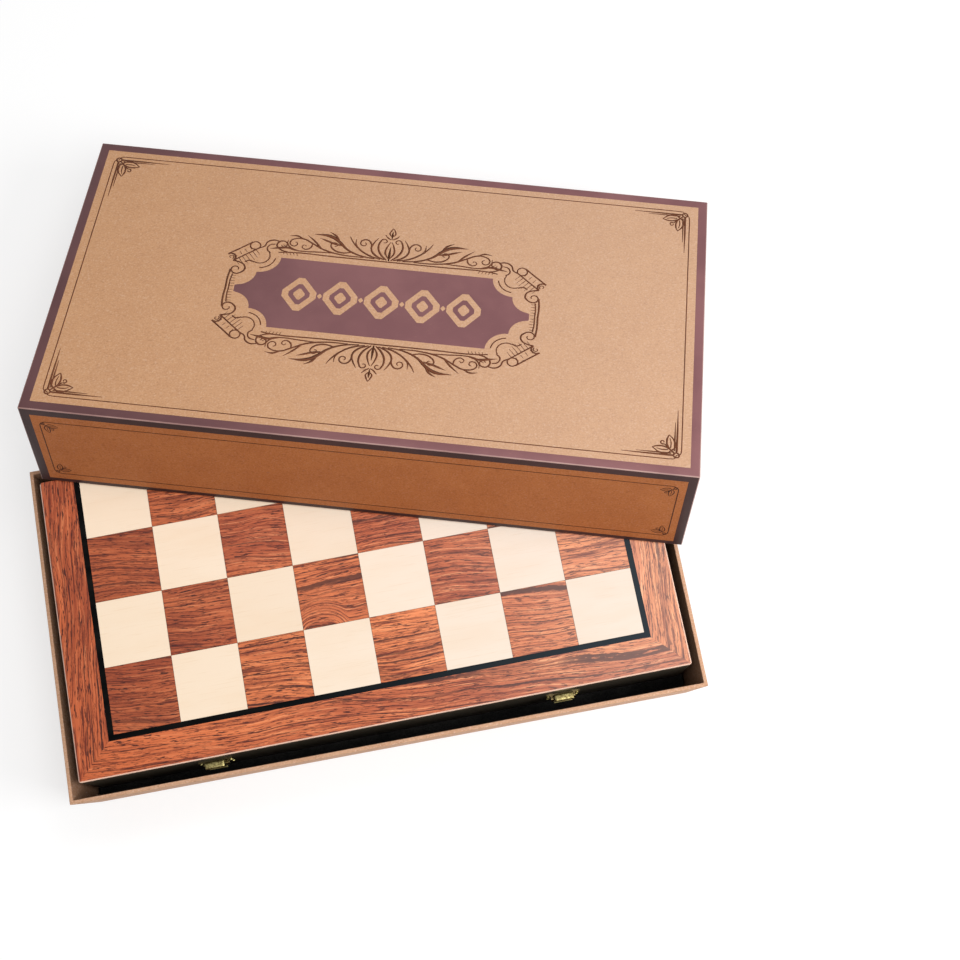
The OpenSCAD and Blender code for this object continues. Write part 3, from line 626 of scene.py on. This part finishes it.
def lid_shell():
    """The lid's board: five printed faces with their maroon bands, folded edges, bare inside."""
    width, depth, height = LID_SIZE
    lid = block("lid_shell", (-width / 2, 0.0, 0.0), (width / 2, depth, height))
    pick_faces(lid, lambda c, n: n.z < -0.5)
    bpy.ops.mesh.delete(type="FACE")
    done(lid)
    printed = (KRAFT, KRAFT_SIDE_PAINTED_SHADE, MAROON, MAROON_SIDE_PAINTED_SHADE)
    bare = (BARE, BARE, BARE, BARE)
    coat(lid, *printed, *bare, FOLD_WEAR_AND_HIGHLIGHT)
    framed_faces(lid, lambda c, n: n.z > 0.5, MAROON, KRAFT)
    # The walls get the copies with painted shade.
    framed_faces(lid, lambda c, n: abs(n.z) < 0.5, MAROON_SIDE_PAINTED_SHADE, KRAFT_SIDE_PAINTED_SHADE)
    pick_points(lid, lambda p: abs(p.z - BAND) < 0.1)
    bpy.ops.transform.translate(value=(0.0, 0.0, (LOWER_BAND - BAND) * MM))
    done(lid)
    modify(
        lid, "SOLIDIFY", thickness=BOARD * MM, offset=-1.0, use_even_offset=True,
        material_offset=len(printed), material_offset_rim=len(printed),
    )
    # The rounded folds take the pale fold finish: wear with a painted highlight.
    rounded(lid, LID_FOLD, angle=40.0, finish=lid.data.materials.find(FOLD_WEAR_AND_HIGHLIGHT.name))
    settle(lid, lid_place())
    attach(lid, "carton_lid")
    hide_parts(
        "lid_top", "lid_front_wall", "lid_back_wall", "lid_left_wall", "lid_right_wall",
    )


def tray_shell():
    """The tray's board: one folded sheet, mitred and rounded at the rim."""
    width, depth, height = TRAY_SIZE
    tray = block("tray_shell", (-width / 2, -depth / 2, 0.0), (width / 2, depth / 2, height))
    pick_faces(tray, lambda c, n: n.z > 0.5)
    bpy.ops.mesh.delete(type="FACE")
    done(tray)
    # The inner faces take the darker board: painted shade inside the tray.
    coat(tray, BARE, BOARD_INSIDE_PAINTED_SHADE)
    pick_points(tray, lambda p: p.z < 0.1)
    shrink = (1 - 2 * TRAY_LEAN / width, 1 - 2 * TRAY_LEAN / depth, 1.0)
    bpy.ops.transform.resize(value=shrink, center_override=(0.0, 0.0, 0.0))
    done(tray)
    modify(
        tray, "SOLIDIFY", thickness=BOARD * MM, offset=-1.0, use_even_offset=True,
        material_offset=1,
    )
    rounded(tray, TRAY_FOLD, angle=40.0)
    settle(tray, tray_place())
    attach(tray, "carton_tray")
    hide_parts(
        "tray_floor", "tray_front_wall", "tray_back_wall", "tray_left_wall",
        "tray_right_wall",
    )


# ---------------------------------------------------------------- printed ornament


def arc(middle, radius, start, stop, steps, width=1.0):
    """Points of a stroke along an arc, angles in degrees."""
    points = []
    for step in range(steps + 1):
        angle = math.radians(start + (stop - start) * step / steps)
        x = middle[0] + radius * math.cos(angle)
        y = middle[1] + radius * math.sin(angle)
        points.append((x, y, width))
    return points


def curl(middle, radius, start, turns, width, end):
    """Points of a stroke that winds inwards, to a share of its first radius; turns is in degrees,
    with its sign."""
    points = []
    steps = max(5, int(abs(turns) / 40))
    for step in range(steps + 1):
        share = step / steps
        angle = math.radians(start + turns * share)
        reach = radius * (1 - (1 - end) * share)
        x = middle[0] + reach * math.cos(angle)
        y = middle[1] + reach * math.sin(angle)
        points.append((x, y, width * (1 - 0.4 * share)))
    return points


def flipped(strokes, across, up):
    """The same strokes mirrored across the middle lines."""
    return [[(x * across, y * up, w) for x, y, w in stroke] for stroke in strokes]


def moved(strokes, x_by, y_by, size):
    """The same strokes resized about their zero, then shifted; their width stays."""
    return [[(x * size + x_by, y * size + y_by, w) for x, y, w in stroke] for stroke in strokes]


def new_drawing(name, dimensions):
    """An empty curve for print on the lid: 2D for filled areas, 3D for strokes."""
    clear_all()
    bpy.ops.curve.primitive_bezier_curve_add()
    piece = bpy.context.object
    piece.name = name
    drawing = piece.data
    drawing.name = name
    drawing.splines.clear()
    drawing.dimensions = dimensions
    return drawing


def drawn_mesh(scale, lift, ink):
    """Makes the drawing a mesh of its real size, before it gets its place on the lid."""
    bpy.ops.object.convert(target="MESH")
    piece = bpy.context.object
    bpy.ops.transform.resize(value=scale)
    bpy.ops.transform.translate(value=(0.0, 0.0, lift))
    bpy.ops.object.transform_apply(location=True, rotation=True, scale=True)
    coat(piece, ink)
    return piece


def put_on_lid(piece, place):
    settle(piece, place)
    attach(piece, "carton_lid")


def print_strokes(name, strokes, place, half_width, ink):
    """Thin raised ink: smooth strokes that swell and taper, pressed flat on the paper."""
    drawing = new_drawing(name, "3D")
    drawing.resolution_u = 4
    drawing.bevel_resolution = 0
    drawing.bevel_depth = half_width * MM
    drawing.use_fill_caps = True
    for stroke in strokes:
        spline = drawing.splines.new("BEZIER")
        spline.bezier_points.add(len(stroke) - 1)
        for point, (x, y, swell) in zip(spline.bezier_points, stroke):
            point.co = (x * MM, y * MM, 0.0)
            point.radius = swell
            point.handle_left_type = "AUTO"
            point.handle_right_type = "AUTO"
    piece = drawn_mesh((1.0, 1.0, INK_FLATNESS), INK_LIFT * MM, ink)
    put_on_lid(piece, place)


def print_shape(name, outlines, place, ink, height):
    """Printed areas: closed outlines filled and raised by the ink's thickness."""
    drawing = new_drawing(name, "2D")
    drawing.fill_mode = "BOTH"
    drawing.extrude = height
    for outline in outlines:
        spline = drawing.splines.new("POLY")
        spline.points.add(len(outline) - 1)
        spline.use_cyclic_u = True
        for corner, place_on_lid in zip(spline.points, outline):
            corner.co = (place_on_lid[0], place_on_lid[1], 0.0, 1.0)
    piece = drawn_mesh((MM, MM, MM), 0.0, ink)
    outward(piece)
    put_on_lid(piece, place)


def face_place(x_axis, y_axis, origin):
    """Place of a printed drawing on one face of the lid: its own X and Y, and where its zero is."""
    x_axis = Vector(x_axis)
    y_axis = Vector(y_axis)
    turn = Matrix((x_axis, y_axis, x_axis.cross(y_axis))).transposed().to_4x4()
    return lid_place() @ Matrix.Translation(Vector(origin) * MM) @ turn


def sprig():
    """Leaf spray of a frame's upper right corner, measured from that corner of the frame.
    The last four strokes are the long lines beside the frame."""
    return [
        arc((-3.0, -3.0), 1.7, 225.0, 585.0, 10, 0.9),
        [(-4.2, -4.2, 1.0), (-7.0, -7.2, 0.9), (-10.4, -10.6, 0.8)],
        curl((-11.4, -11.8), 1.5, 60.0, 330.0, 0.9, 0.5),
        [(-6.0, -6.2, 0.8), (-8.8, -3.9, 1.0), (-13.2, -4.4, 1.0), (-17.6, -7.6, 0.5)],
        [(-6.0, -6.2, 0.8), (-10.0, -8.6, 1.0), (-14.2, -8.8, 1.0), (-17.6, -7.6, 0.5)],
        [(-6.2, -6.0, 0.8), (-3.9, -8.8, 1.0), (-4.4, -13.2, 1.0), (-7.6, -17.6, 0.5)],
        [(-6.2, -6.0, 0.8), (-8.6, -10.0, 1.0), (-8.8, -14.2, 1.0), (-7.6, -17.6, 0.5)],
        [(-8.0, -6.6, 0.7), (-12.0, -6.4, 0.7), (-15.0, -7.2, 0.4)],
        [(-6.6, -8.0, 0.7), (-6.4, -12.0, 0.7), (-7.2, -15.0, 0.4)],
        [(-4.6, -2.9, 1.2), (-20.0, -2.8, 1.0), (-36.0, -2.9, 0.3)],
        [(-6.0, -4.3, 0.9), (-16.0, -4.2, 0.8), (-27.0, -4.2, 0.3)],
        [(-2.9, -4.6, 1.2), (-2.8, -20.0, 1.0), (-2.9, -36.0, 0.3)],
        [(-4.3, -6.0, 0.9), (-4.2, -16.0, 0.8), (-4.2, -27.0, 0.3)],
    ]


def frame_print(half_x, half_y, size=1.0):
    """A thin frame line round a panel, with eased corners and a leaf spray in each corner.
    A small frame's sprays are fainter and have no long lines."""
    cut = 7.0 * size
    strokes = []
    for side in (-1, 1):
        level = side * half_y
        strokes.append([(-half_x + cut, level, 0.8), (0.0, level, 0.8), (half_x - cut, level, 0.8)])
        level = side * half_x
        strokes.append([(level, -half_y + cut, 0.8), (level, 0.0, 0.8), (level, half_y - cut, 0.8)])
    corner = [
        (half_x - cut, half_y, 0.8), (half_x - cut * 0.55, half_y - 0.7 * size, 0.8),
        (half_x - 2.9 * size, half_y - 2.9 * size, 0.8),
        (half_x - 0.7 * size, half_y - cut * 0.55, 0.8), (half_x, half_y - cut, 0.8),
    ]
    leaves = sprig()
    weight = 1.3
    if size < 1.0:
        leaves = leaves[:WALL_SPRIG_STROKES]
        weight = 0.8
    leaves = [[(x, y, w * weight) for x, y, w in stroke] for stroke in leaves]
    leaves = moved(leaves, half_x, half_y, size)
    for across in (-1, 1):
        for up in (-1, 1):
            strokes += flipped([corner] + leaves, across, up)
    return strokes


def scroll_quarter():
    """Rolled ribbon at the plaque's upper right corner, from the plaque's middle.
    The loops at the end are its fine hatching."""
    notch = (81.5, 28.5)
    strokes = [
        arc(notch, 10.0, 186.0, 264.0, 7, 0.8),
        arc(notch, 6.2, 150.0, 300.0, 9, 0.8),
        [(0.0, 33.6, 1.0), (34.0, 33.6, 1.0), (64.5, 33.6, 1.0), (70.5, 32.6, 0.9)],
        [(64.5, 33.6, 0.9), (69.5, 35.2, 1.1), (72.4, 38.4, 1.2), (71.0, 42.0, 1.2)]
        + curl((68.4, 39.6), 3.4, 40.0, 300.0, 1.1, 0.35)[1:],
        [(71.0, 42.0, 0.9), (75.5, 42.6, 1.1), (79.0, 40.2, 1.1), (80.0, 37.0, 1.0), (84.0, 34.4, 1.0)],
        [(75.6, 31.8, 0.9), (78.0, 34.4, 1.0), (77.0, 38.2, 1.0), (73.4, 39.4, 0.8)],
        [(84.0, 34.2, 1.0), (90.8, 28.4, 1.0), (97.8, 22.4, 1.0)],
        [(88.0, 39.2, 1.1), (95.0, 33.2, 1.1), (102.0, 27.4, 1.1)],
        arc((86.0, 36.6), 3.2, 50.0, 410.0, 9, 0.9),
        arc((99.9, 24.9), 3.2, 230.0, 50.0, 6, 1.1),
        curl((99.6, 25.2), 1.9, 230.0, -320.0, 0.8, 0.3),
        [(97.8, 22.4, 1.0), (93.6, 21.6, 1.0), (90.0, 19.0, 1.1), (89.6, 15.4, 1.2), (92.4, 12.4, 1.1)],
        [(92.4, 12.4, 1.1)] + curl((94.8, 15.6), 3.9, 232.0, 330.0, 1.1, 0.35)[1:],
        [(84.4, 22.6, 0.9), (87.4, 23.8, 1.0), (90.4, 22.2, 0.9)],
        [(98.2, 15.4, 1.2), (98.8, 8.0, 1.2), (98.6, 0.0, 1.2)],
        [(96.2, 11.6, 0.9), (96.8, 6.0, 0.9), (96.7, 0.0, 0.9)],
    ]
    for step in range(7):
        share = 0.08 + step * 0.14
        x = 84.0 + 13.8 * share
        y = 34.2 - 11.8 * share
        long = 4.4 + 3.4 * math.sin(math.pi * share)
        strokes.append([(x, y, 0.5), (x - 0.6 * long, y - 0.74 * long, 0.3)])
    for step in range(4):
        share = 0.2 + step * 0.2
        x = 84.6 + 13.8 * share
        y = 34.8 - 11.8 * share
        strokes.append([(x + 0.4, y + 0.6, 0.45), (x + 2.2, y + 2.9, 0.3)])
    for step in range(5):
        y = 1.4 + step * 2.2
        strokes.append([(93.8, y, 0.3), (96.6, y, 0.5)])
    for step in range(5):
        x = 58.0 + step * 2.2
        strokes.append([(x, 31.4, 0.3), (x + 0.8, 33.4, 0.5)])
    return strokes


def vine_half():
    """Leafy scrollwork over the right half of the plaque's upper edge."""
    return [
        [(0.0, 55.0, 0.4), (1.9, 57.6, 1.0), (1.2, 60.2, 1.0), (0.0, 62.6, 0.4)],
        [(0.0, 53.0, 0.5), (0.0, 56.6, 1.5), (0.0, 59.6, 0.5)],
        [(0.4, 52.6, 0.7), (2.6, 54.0, 1.1), (4.6, 56.4, 0.5)],
        [(0.0, 34.6, 1.0), (0.0, 40.0, 1.6), (0.0, 46.0, 0.5)],
        [(0.6, 36.6, 0.8), (2.8, 41.0, 1.3), (2.2, 46.2, 1.0), (0.4, 50.6, 0.5)],
        [(1.4, 35.0, 1.0), (5.4, 39.2, 1.4), (7.8, 45.0, 1.3), (6.8, 50.8, 1.1)]
        + curl((4.4, 50.6), 2.4, 10.0, 300.0, 1.0, 0.35)[1:],
        [(3.0, 35.2, 1.0), (9.4, 38.6, 1.4), (12.2, 43.6, 1.2), (11.0, 48.6, 1.0), (8.6, 53.0, 0.4)],
        [(12.2, 43.6, 1.0), (12.8, 48.0, 1.1), (15.6, 50.6, 1.1), (18.8, 49.6, 1.0)]
        + curl((17.2, 47.2), 2.7, 60.0, -300.0, 1.0, 0.35)[1:],
        [(5.4, 35.2, 0.9), (13.0, 37.6, 1.3), (20.0, 42.4, 1.2), (24.6, 47.8, 1.0), (27.0, 52.2, 0.4)],
        [(20.0, 42.4, 1.0), (22.4, 46.2, 0.9), (22.6, 50.4, 0.4)],
        [(9.0, 35.2, 0.9), (19.0, 36.8, 1.2), (27.6, 41.0, 1.5), (33.0, 46.4, 2.2), (39.6, 50.6, 2.6),
         (50.0, 51.2, 0.3)],
        [(33.0, 46.4, 1.2), (36.0, 51.4, 1.6), (40.4, 54.2, 0.3)],
        [(30.0, 43.6, 1.0), (35.6, 44.4, 1.6), (41.6, 46.6, 1.4), (46.0, 48.2, 0.3)],
        [(24.0, 38.8, 0.9), (30.6, 37.6, 1.2), (36.0, 39.6, 1.2), (38.2, 43.0, 1.0)]
        + curl((35.6, 43.4), 2.6, 350.0, 290.0, 1.0, 0.35)[1:],
        [(16.0, 35.4, 0.8), (30.0, 35.8, 1.1), (42.0, 38.6, 1.3), (50.0, 43.0, 1.2), (56.6, 46.2, 1.1),
         (62.6, 45.2, 1.0)] + curl((61.4, 41.8), 3.6, 70.0, -330.0, 1.1, 0.3)[1:],
        [(44.0, 39.6, 0.9), (48.4, 44.6, 1.4), (54.0, 49.6, 0.3)],
        [(50.0, 43.0, 0.9), (50.6, 39.6, 1.1), (53.2, 37.6, 1.0)]
        + curl((54.6, 39.8), 2.2, 240.0, 290.0, 0.9, 0.35)[1:],
        [(36.0, 36.6, 0.7), (46.0, 36.2, 1.0), (56.0, 35.6, 0.9), (63.0, 36.6, 1.1), (68.6, 39.6, 0.4)],
        [(58.0, 35.6, 0.8), (65.0, 37.4, 1.6), (70.4, 36.6, 1.8), (76.6, 35.4, 0.3)],
        [(61.0, 36.0, 0.7), (65.6, 40.2, 1.1), (66.0, 44.2, 0.4)],
        [(56.6, 46.2, 0.9), (60.6, 48.2, 1.3), (65.6, 47.6, 0.3)],
    ]


def plaque_outline():
    """The plaque's edge: scooped corners, then a second scoop to the blunt tip at each end."""
    points = arc((81.5, 28.5), 13.6, 180.0, 270.0, 10)
    points += arc((93.4, 15.0), 12.0, 180.0, 262.0, 7)
    points.append((93.2, 2.6, 1.0))
    right = points + [(x, -y, w) for x, y, w in reversed(points)]
    return right + [(-x, y, w) for x, y, w in reversed(right)]


def lozenge(x, half_width, half_height):
    """A lozenge on the plaque's middle line, with its four tips cut blunt."""
    blunt = 0.18
    outline = []
    for turn in range(4):
        angle = math.radians(90.0 * turn)
        for shift in (-blunt, blunt):
            a = angle + shift
            outline.append((x + half_width * math.cos(a), half_height * math.sin(a)))
    return outline


def lozenge_row(steps, half_width, half_height):
    return [lozenge(LOZENGE_PITCH * step, half_width, half_height) for step in steps]


def lid_print():
    """All of the lid's print: frames on the five faces, and the plaque with its ornament on top.
    Each layer on the plaque stands a little prouder than the one below it."""
    width, depth, height = LID_SIZE
    top = face_place((1, 0, 0), (0, 1, 0), (0.0, depth / 2, height))
    strokes = frame_print(width / 2 - TOP_FRAME_GAP[0], depth / 2 - TOP_FRAME_GAP[1])
    print_strokes("top_frame_print", strokes, top, TOP_LINE, INK)
    middle = face_place((1, 0, 0), (0, 1, 0), (0.0, PLAQUE_MIDDLE, height))
    strokes = []
    for across in (-1, 1):
        for up in (-1, 1):
            strokes += flipped(scroll_quarter() + vine_half(), across, up)
    print_strokes("plaque_ornament_print", strokes, middle, PLAQUE_LINE, INK)
    print_shape("plaque_print", [plaque_outline()], middle, MAROON, 0.05)
    large = (-2, -1, 0, 1, 2)
    outer = lozenge_row(large, 11.0, 13.6) + lozenge_row((-1.5, -0.5, 0.5, 1.5), 1.5, 1.9)
    print_shape("plaque_lozenges", outer, middle, KRAFT, 0.09)
    print_shape("plaque_lozenge_cores", lozenge_row(large, 6.8, 8.4), middle, MAROON, 0.12)
    print_shape("plaque_lozenge_eyes", lozenge_row(large, 3.6, 4.5), middle, KRAFT, 0.15)
    walls = (
        ("front_frame_print", (1, 0, 0), (0.0, 0.0), width),
        ("back_frame_print", (-1, 0, 0), (0.0, depth), width),
        ("right_frame_print", (0, 1, 0), (width / 2, depth / 2), depth),
        ("left_frame_print", (0, -1, 0), (-width / 2, depth / 2), depth),
    )
    for name, along, (x, y), length in walls:
        side = face_place(along, (0, 0, 1), (x, y, WALL_FRAME_MIDDLE))
        strokes = frame_print(length / 2 - WALL_FRAME_GAP, WALL_FRAME_RISE, WALL_SPRIG_SIZE)
        print_strokes(name, strokes, side, WALL_LINE, SIDE_INK_PAINTED_SHADE)


# ---------------------------------------------------------------- foam


def tray_cushion():
    """The foam sheet on the tray's floor, with soft worn edges."""
    width, depth = TRAY_SIZE[:2]
    inner_x = width / 2 - TRAY_LEAN - BOARD - REST_GAP
    inner_y = depth / 2 - TRAY_LEAN - BOARD - REST_GAP
    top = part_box("tray_pad")[1][2] / MM
    cushion = block("tray_cushion", (-inner_x, -inner_y, BOARD), (inner_x, inner_y, top))
    pick_faces(cushion, lambda c, n: True)
    bpy.ops.mesh.subdivide(number_cuts=9)
    done(cushion)
    rounded(cushion, 1.2, angle=60.0)
    coat(cushion, FOAM)
    settle(cushion, tray_place())
    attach(cushion, "carton_tray")
    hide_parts("tray_pad")


def cut_foam(node, name, body):
    """A cut foam block: the solid's form with its edges rounded over."""
    clear_all()
    source = nodes[node]
    piece = source.copy()
    piece.data = source.data.copy()
    bpy.context.scene.collection.objects.link(piece)
    piece.parent = None
    piece.matrix_world = source.matrix_world
    piece.name = name
    piece.data.name = name
    for key in list(piece.keys()):
        del piece[key]
    outward(piece)
    modify(piece, "DECIMATE", decimate_type="DISSOLVE", angle_limit=math.radians(2.0))
    rounded(piece, 0.5, segments=2, angle=40.0)
    coat(piece, FOAM)
    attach(piece, body)
    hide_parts(node)


# ---------------------------------------------------------------- latch catches


def catch_cover(name, x):
    """The raised cover over a latch's pin: a small stamped box with soft edges, its top pressed
    out a little and its lower front edge drawn in."""
    low = (x - COVER_HALF_WIDTH, COVER_FRONT, COVER_FOOT)
    high = (x + COVER_HALF_WIDTH, COVER_BACK, COVER_TOP)
    cover = block(name, low, high)
    pick_faces(cover, lambda c, n: n.z > 0.5)
    bpy.ops.mesh.inset(thickness=0.9 * MM)
    bpy.ops.transform.translate(value=(0.0, 0.0, 0.5 * MM))
    done(cover)
    pick_points(cover, lambda p: p.z < low[2] + 0.1 and p.y < low[1] + 0.1)
    bpy.ops.transform.translate(value=(0.0, 0.7 * MM, 0.0))
    done(cover)
    rounded(cover, 0.45, angle=20.0)
    coat(cover, BRONZE)
    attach(cover, "case_upper")


# ---------------------------------------------------------------- finishes of the CAD's own nodes


def paint(material, *names):
    for name in names:
        node = nodes[name]
        if not node.material_slots:
            node.data.materials.append(material)
        for slot in node.material_slots:
            slot.material = material


def dress_case():
    """Gives every CAD node that stays its finish."""
    for half in ("upper_", "lower_"):
        paint(BLACK, half + "front_rail", half + "back_rail", half + "left_rail", half + "right_rail")
        paint(PANEL, half + "core_panel")
        paint(BORDER_X, half + "front_member")
        paint(BORDER_Y, half + "left_member", half + "right_member")
        paint(INLAY, half + "inlay")
        paint(LIGHT_TILES, half + "light_squares")
        paint(DARK_TILES, half + "dark_squares")
        paint(BRASS, half + "hinge_leaves", half + "hinge_screws")
    paint(PLATE_BRASS, "latch_plates", "latch_keepers")
    paint(BRASS, "hinge_pins", "latch_pins", "latch_plate_nails", "keeper_nails")
    paint(BRASS, "left_latch_lever", "right_latch_lever")
    for kind in ("king", "queens", "bishops", "knights", "rooks", "pawns"):
        paint(DARK_MEN, "dark_" + kind)
        paint(LIGHT_MEN, "light_" + kind)


# ---------------------------------------------------------------- stage, light, camera


def seen_rays(tree):
    """1 for rays that show the background: straight from the camera, mirrored, or through glass."""
    path = tree.nodes.new("ShaderNodeLightPath")
    total = path.outputs["Is Camera Ray"]
    for label in ("Is Glossy Ray", "Is Transmission Ray"):
        either = tree.nodes.new("ShaderNodeMath")
        either.operation = "MAXIMUM"
        tree.links.new(total, either.inputs[0])
        tree.links.new(path.outputs[label], either.inputs[1])
        total = either.outputs[0]
    return total


def show_blend(tree, share, first, second, output):
    """Ends a material or the world in two shaders, mixed by a share from the first to the second."""
    blend = tree.nodes.new("ShaderNodeMixShader")
    tree.links.new(share, blend.inputs[0])
    tree.links.new(first.outputs[0], blend.inputs[1])
    tree.links.new(second.outputs[0], blend.inputs[2])
    tree.links.new(blend.outputs[0], output.inputs["Surface"])


def floor():
    """A matt white floor that keeps the shadow and lends the seen background some of its white."""
    clear_all()
    bpy.ops.mesh.primitive_plane_add(size=14.0, location=(0.0, 0.0, -0.0002))
    ground = bpy.context.object
    ground.name = "floor"
    material = bpy.data.materials.new("floor_white")
    material.use_nodes = True
    tree = material.node_tree
    tree.nodes.clear()
    output = tree.nodes.new("ShaderNodeOutputMaterial")
    matt = tree.nodes.new("ShaderNodeBsdfDiffuse")
    matt.inputs["Color"].default_value = grey(0.9)
    glow = tree.nodes.new("ShaderNodeEmission")
    glow.inputs["Color"].default_value = WHITE
    glow.inputs["Strength"].default_value = 1.15
    share = tree.nodes.new("ShaderNodeMath")
    share.operation = "MULTIPLY"
    share.inputs[1].default_value = 0.55
    tree.links.new(seen_rays(tree), share.inputs[0])
    show_blend(tree, share.outputs[0], matt, glow, output)
    ground.data.materials.append(material)


def sky():
    """Soft even light, seen as plain white."""
    world = bpy.data.worlds.new("studio")
    bpy.context.scene.world = world
    world.use_nodes = True
    tree = world.node_tree
    tree.nodes.clear()
    output = tree.nodes.new("ShaderNodeOutputWorld")
    soft = tree.nodes.new("ShaderNodeBackground")
    soft.inputs["Strength"].default_value = 0.4
    white = tree.nodes.new("ShaderNodeBackground")
    white.inputs["Strength"].default_value = 1.0
    show_blend(tree, seen_rays(tree), soft, white, output)


def lamp(name, place, aim, size, power):
    """A square soft lamp: its place and aim in metres, its side in metres, its power in watts."""
    clear_all()
    bpy.ops.object.light_add(type="AREA", location=place)
    light = bpy.context.object
    light.name = name
    light.data.size = size
    light.data.energy = power
    look = Vector(aim) - Vector(place)
    light.rotation_euler = look.to_track_quat("-Z", "Y").to_euler()


def camera():
    """The photo's own view: where it stands, where it looks and how long its lens is."""
    clear_all()
    bpy.ops.object.camera_add()
    eye = bpy.context.object
    eye.name = "camera"
    forward = Vector(CAMERA_FORWARD).normalized()
    across = forward.cross(Vector(CAMERA_UPWARD)).normalized()
    upward = across.cross(forward).normalized()
    turn = Matrix((across, upward, -forward)).transposed().to_4x4()
    eye.matrix_world = Matrix.Translation(Vector(CAMERA_PLACE) * MM) @ turn
    eye.data.sensor_width = 36.0
    eye.data.sensor_fit = "HORIZONTAL"
    eye.data.lens = CAMERA_LENS
    eye.data.clip_start = 0.01
    eye.data.clip_end = 60.0
    bpy.context.scene.camera = eye


camera()
bpy.context.scene.view_settings.view_transform = "Standard"
sky()
floor()
lamp("right_lamp", (0.95, -0.45, 1.0), (0.05, 0.02, 0.05), 0.7, 12.0)
lamp("sheen_lamp", (0.42, 0.3, 1.3), (0.12, 0.0, 0.07), 0.45, 3.5)
lamp("back_lamp", (0.1, 0.9, 2.1), (0.0, 0.0, 0.05), 1.0, 5.0)
lamp("front_lamp", (0.35, -0.6, 1.7), (0.0, -0.1, 0.05), 0.6, 7.2)

dress_case()
catch_cover("left_catch_cover", CASE_X - LATCH_OUT)
catch_cover("right_catch_cover", CASE_X + LATCH_OUT)
lid_shell()
lid_print()
tray_shell()
tray_cushion()
cut_foam("upper_foam", "upper_foam_cut", "case_upper")
cut_foam("lower_foam", "lower_foam_cut", "case_lower")

clear_all()
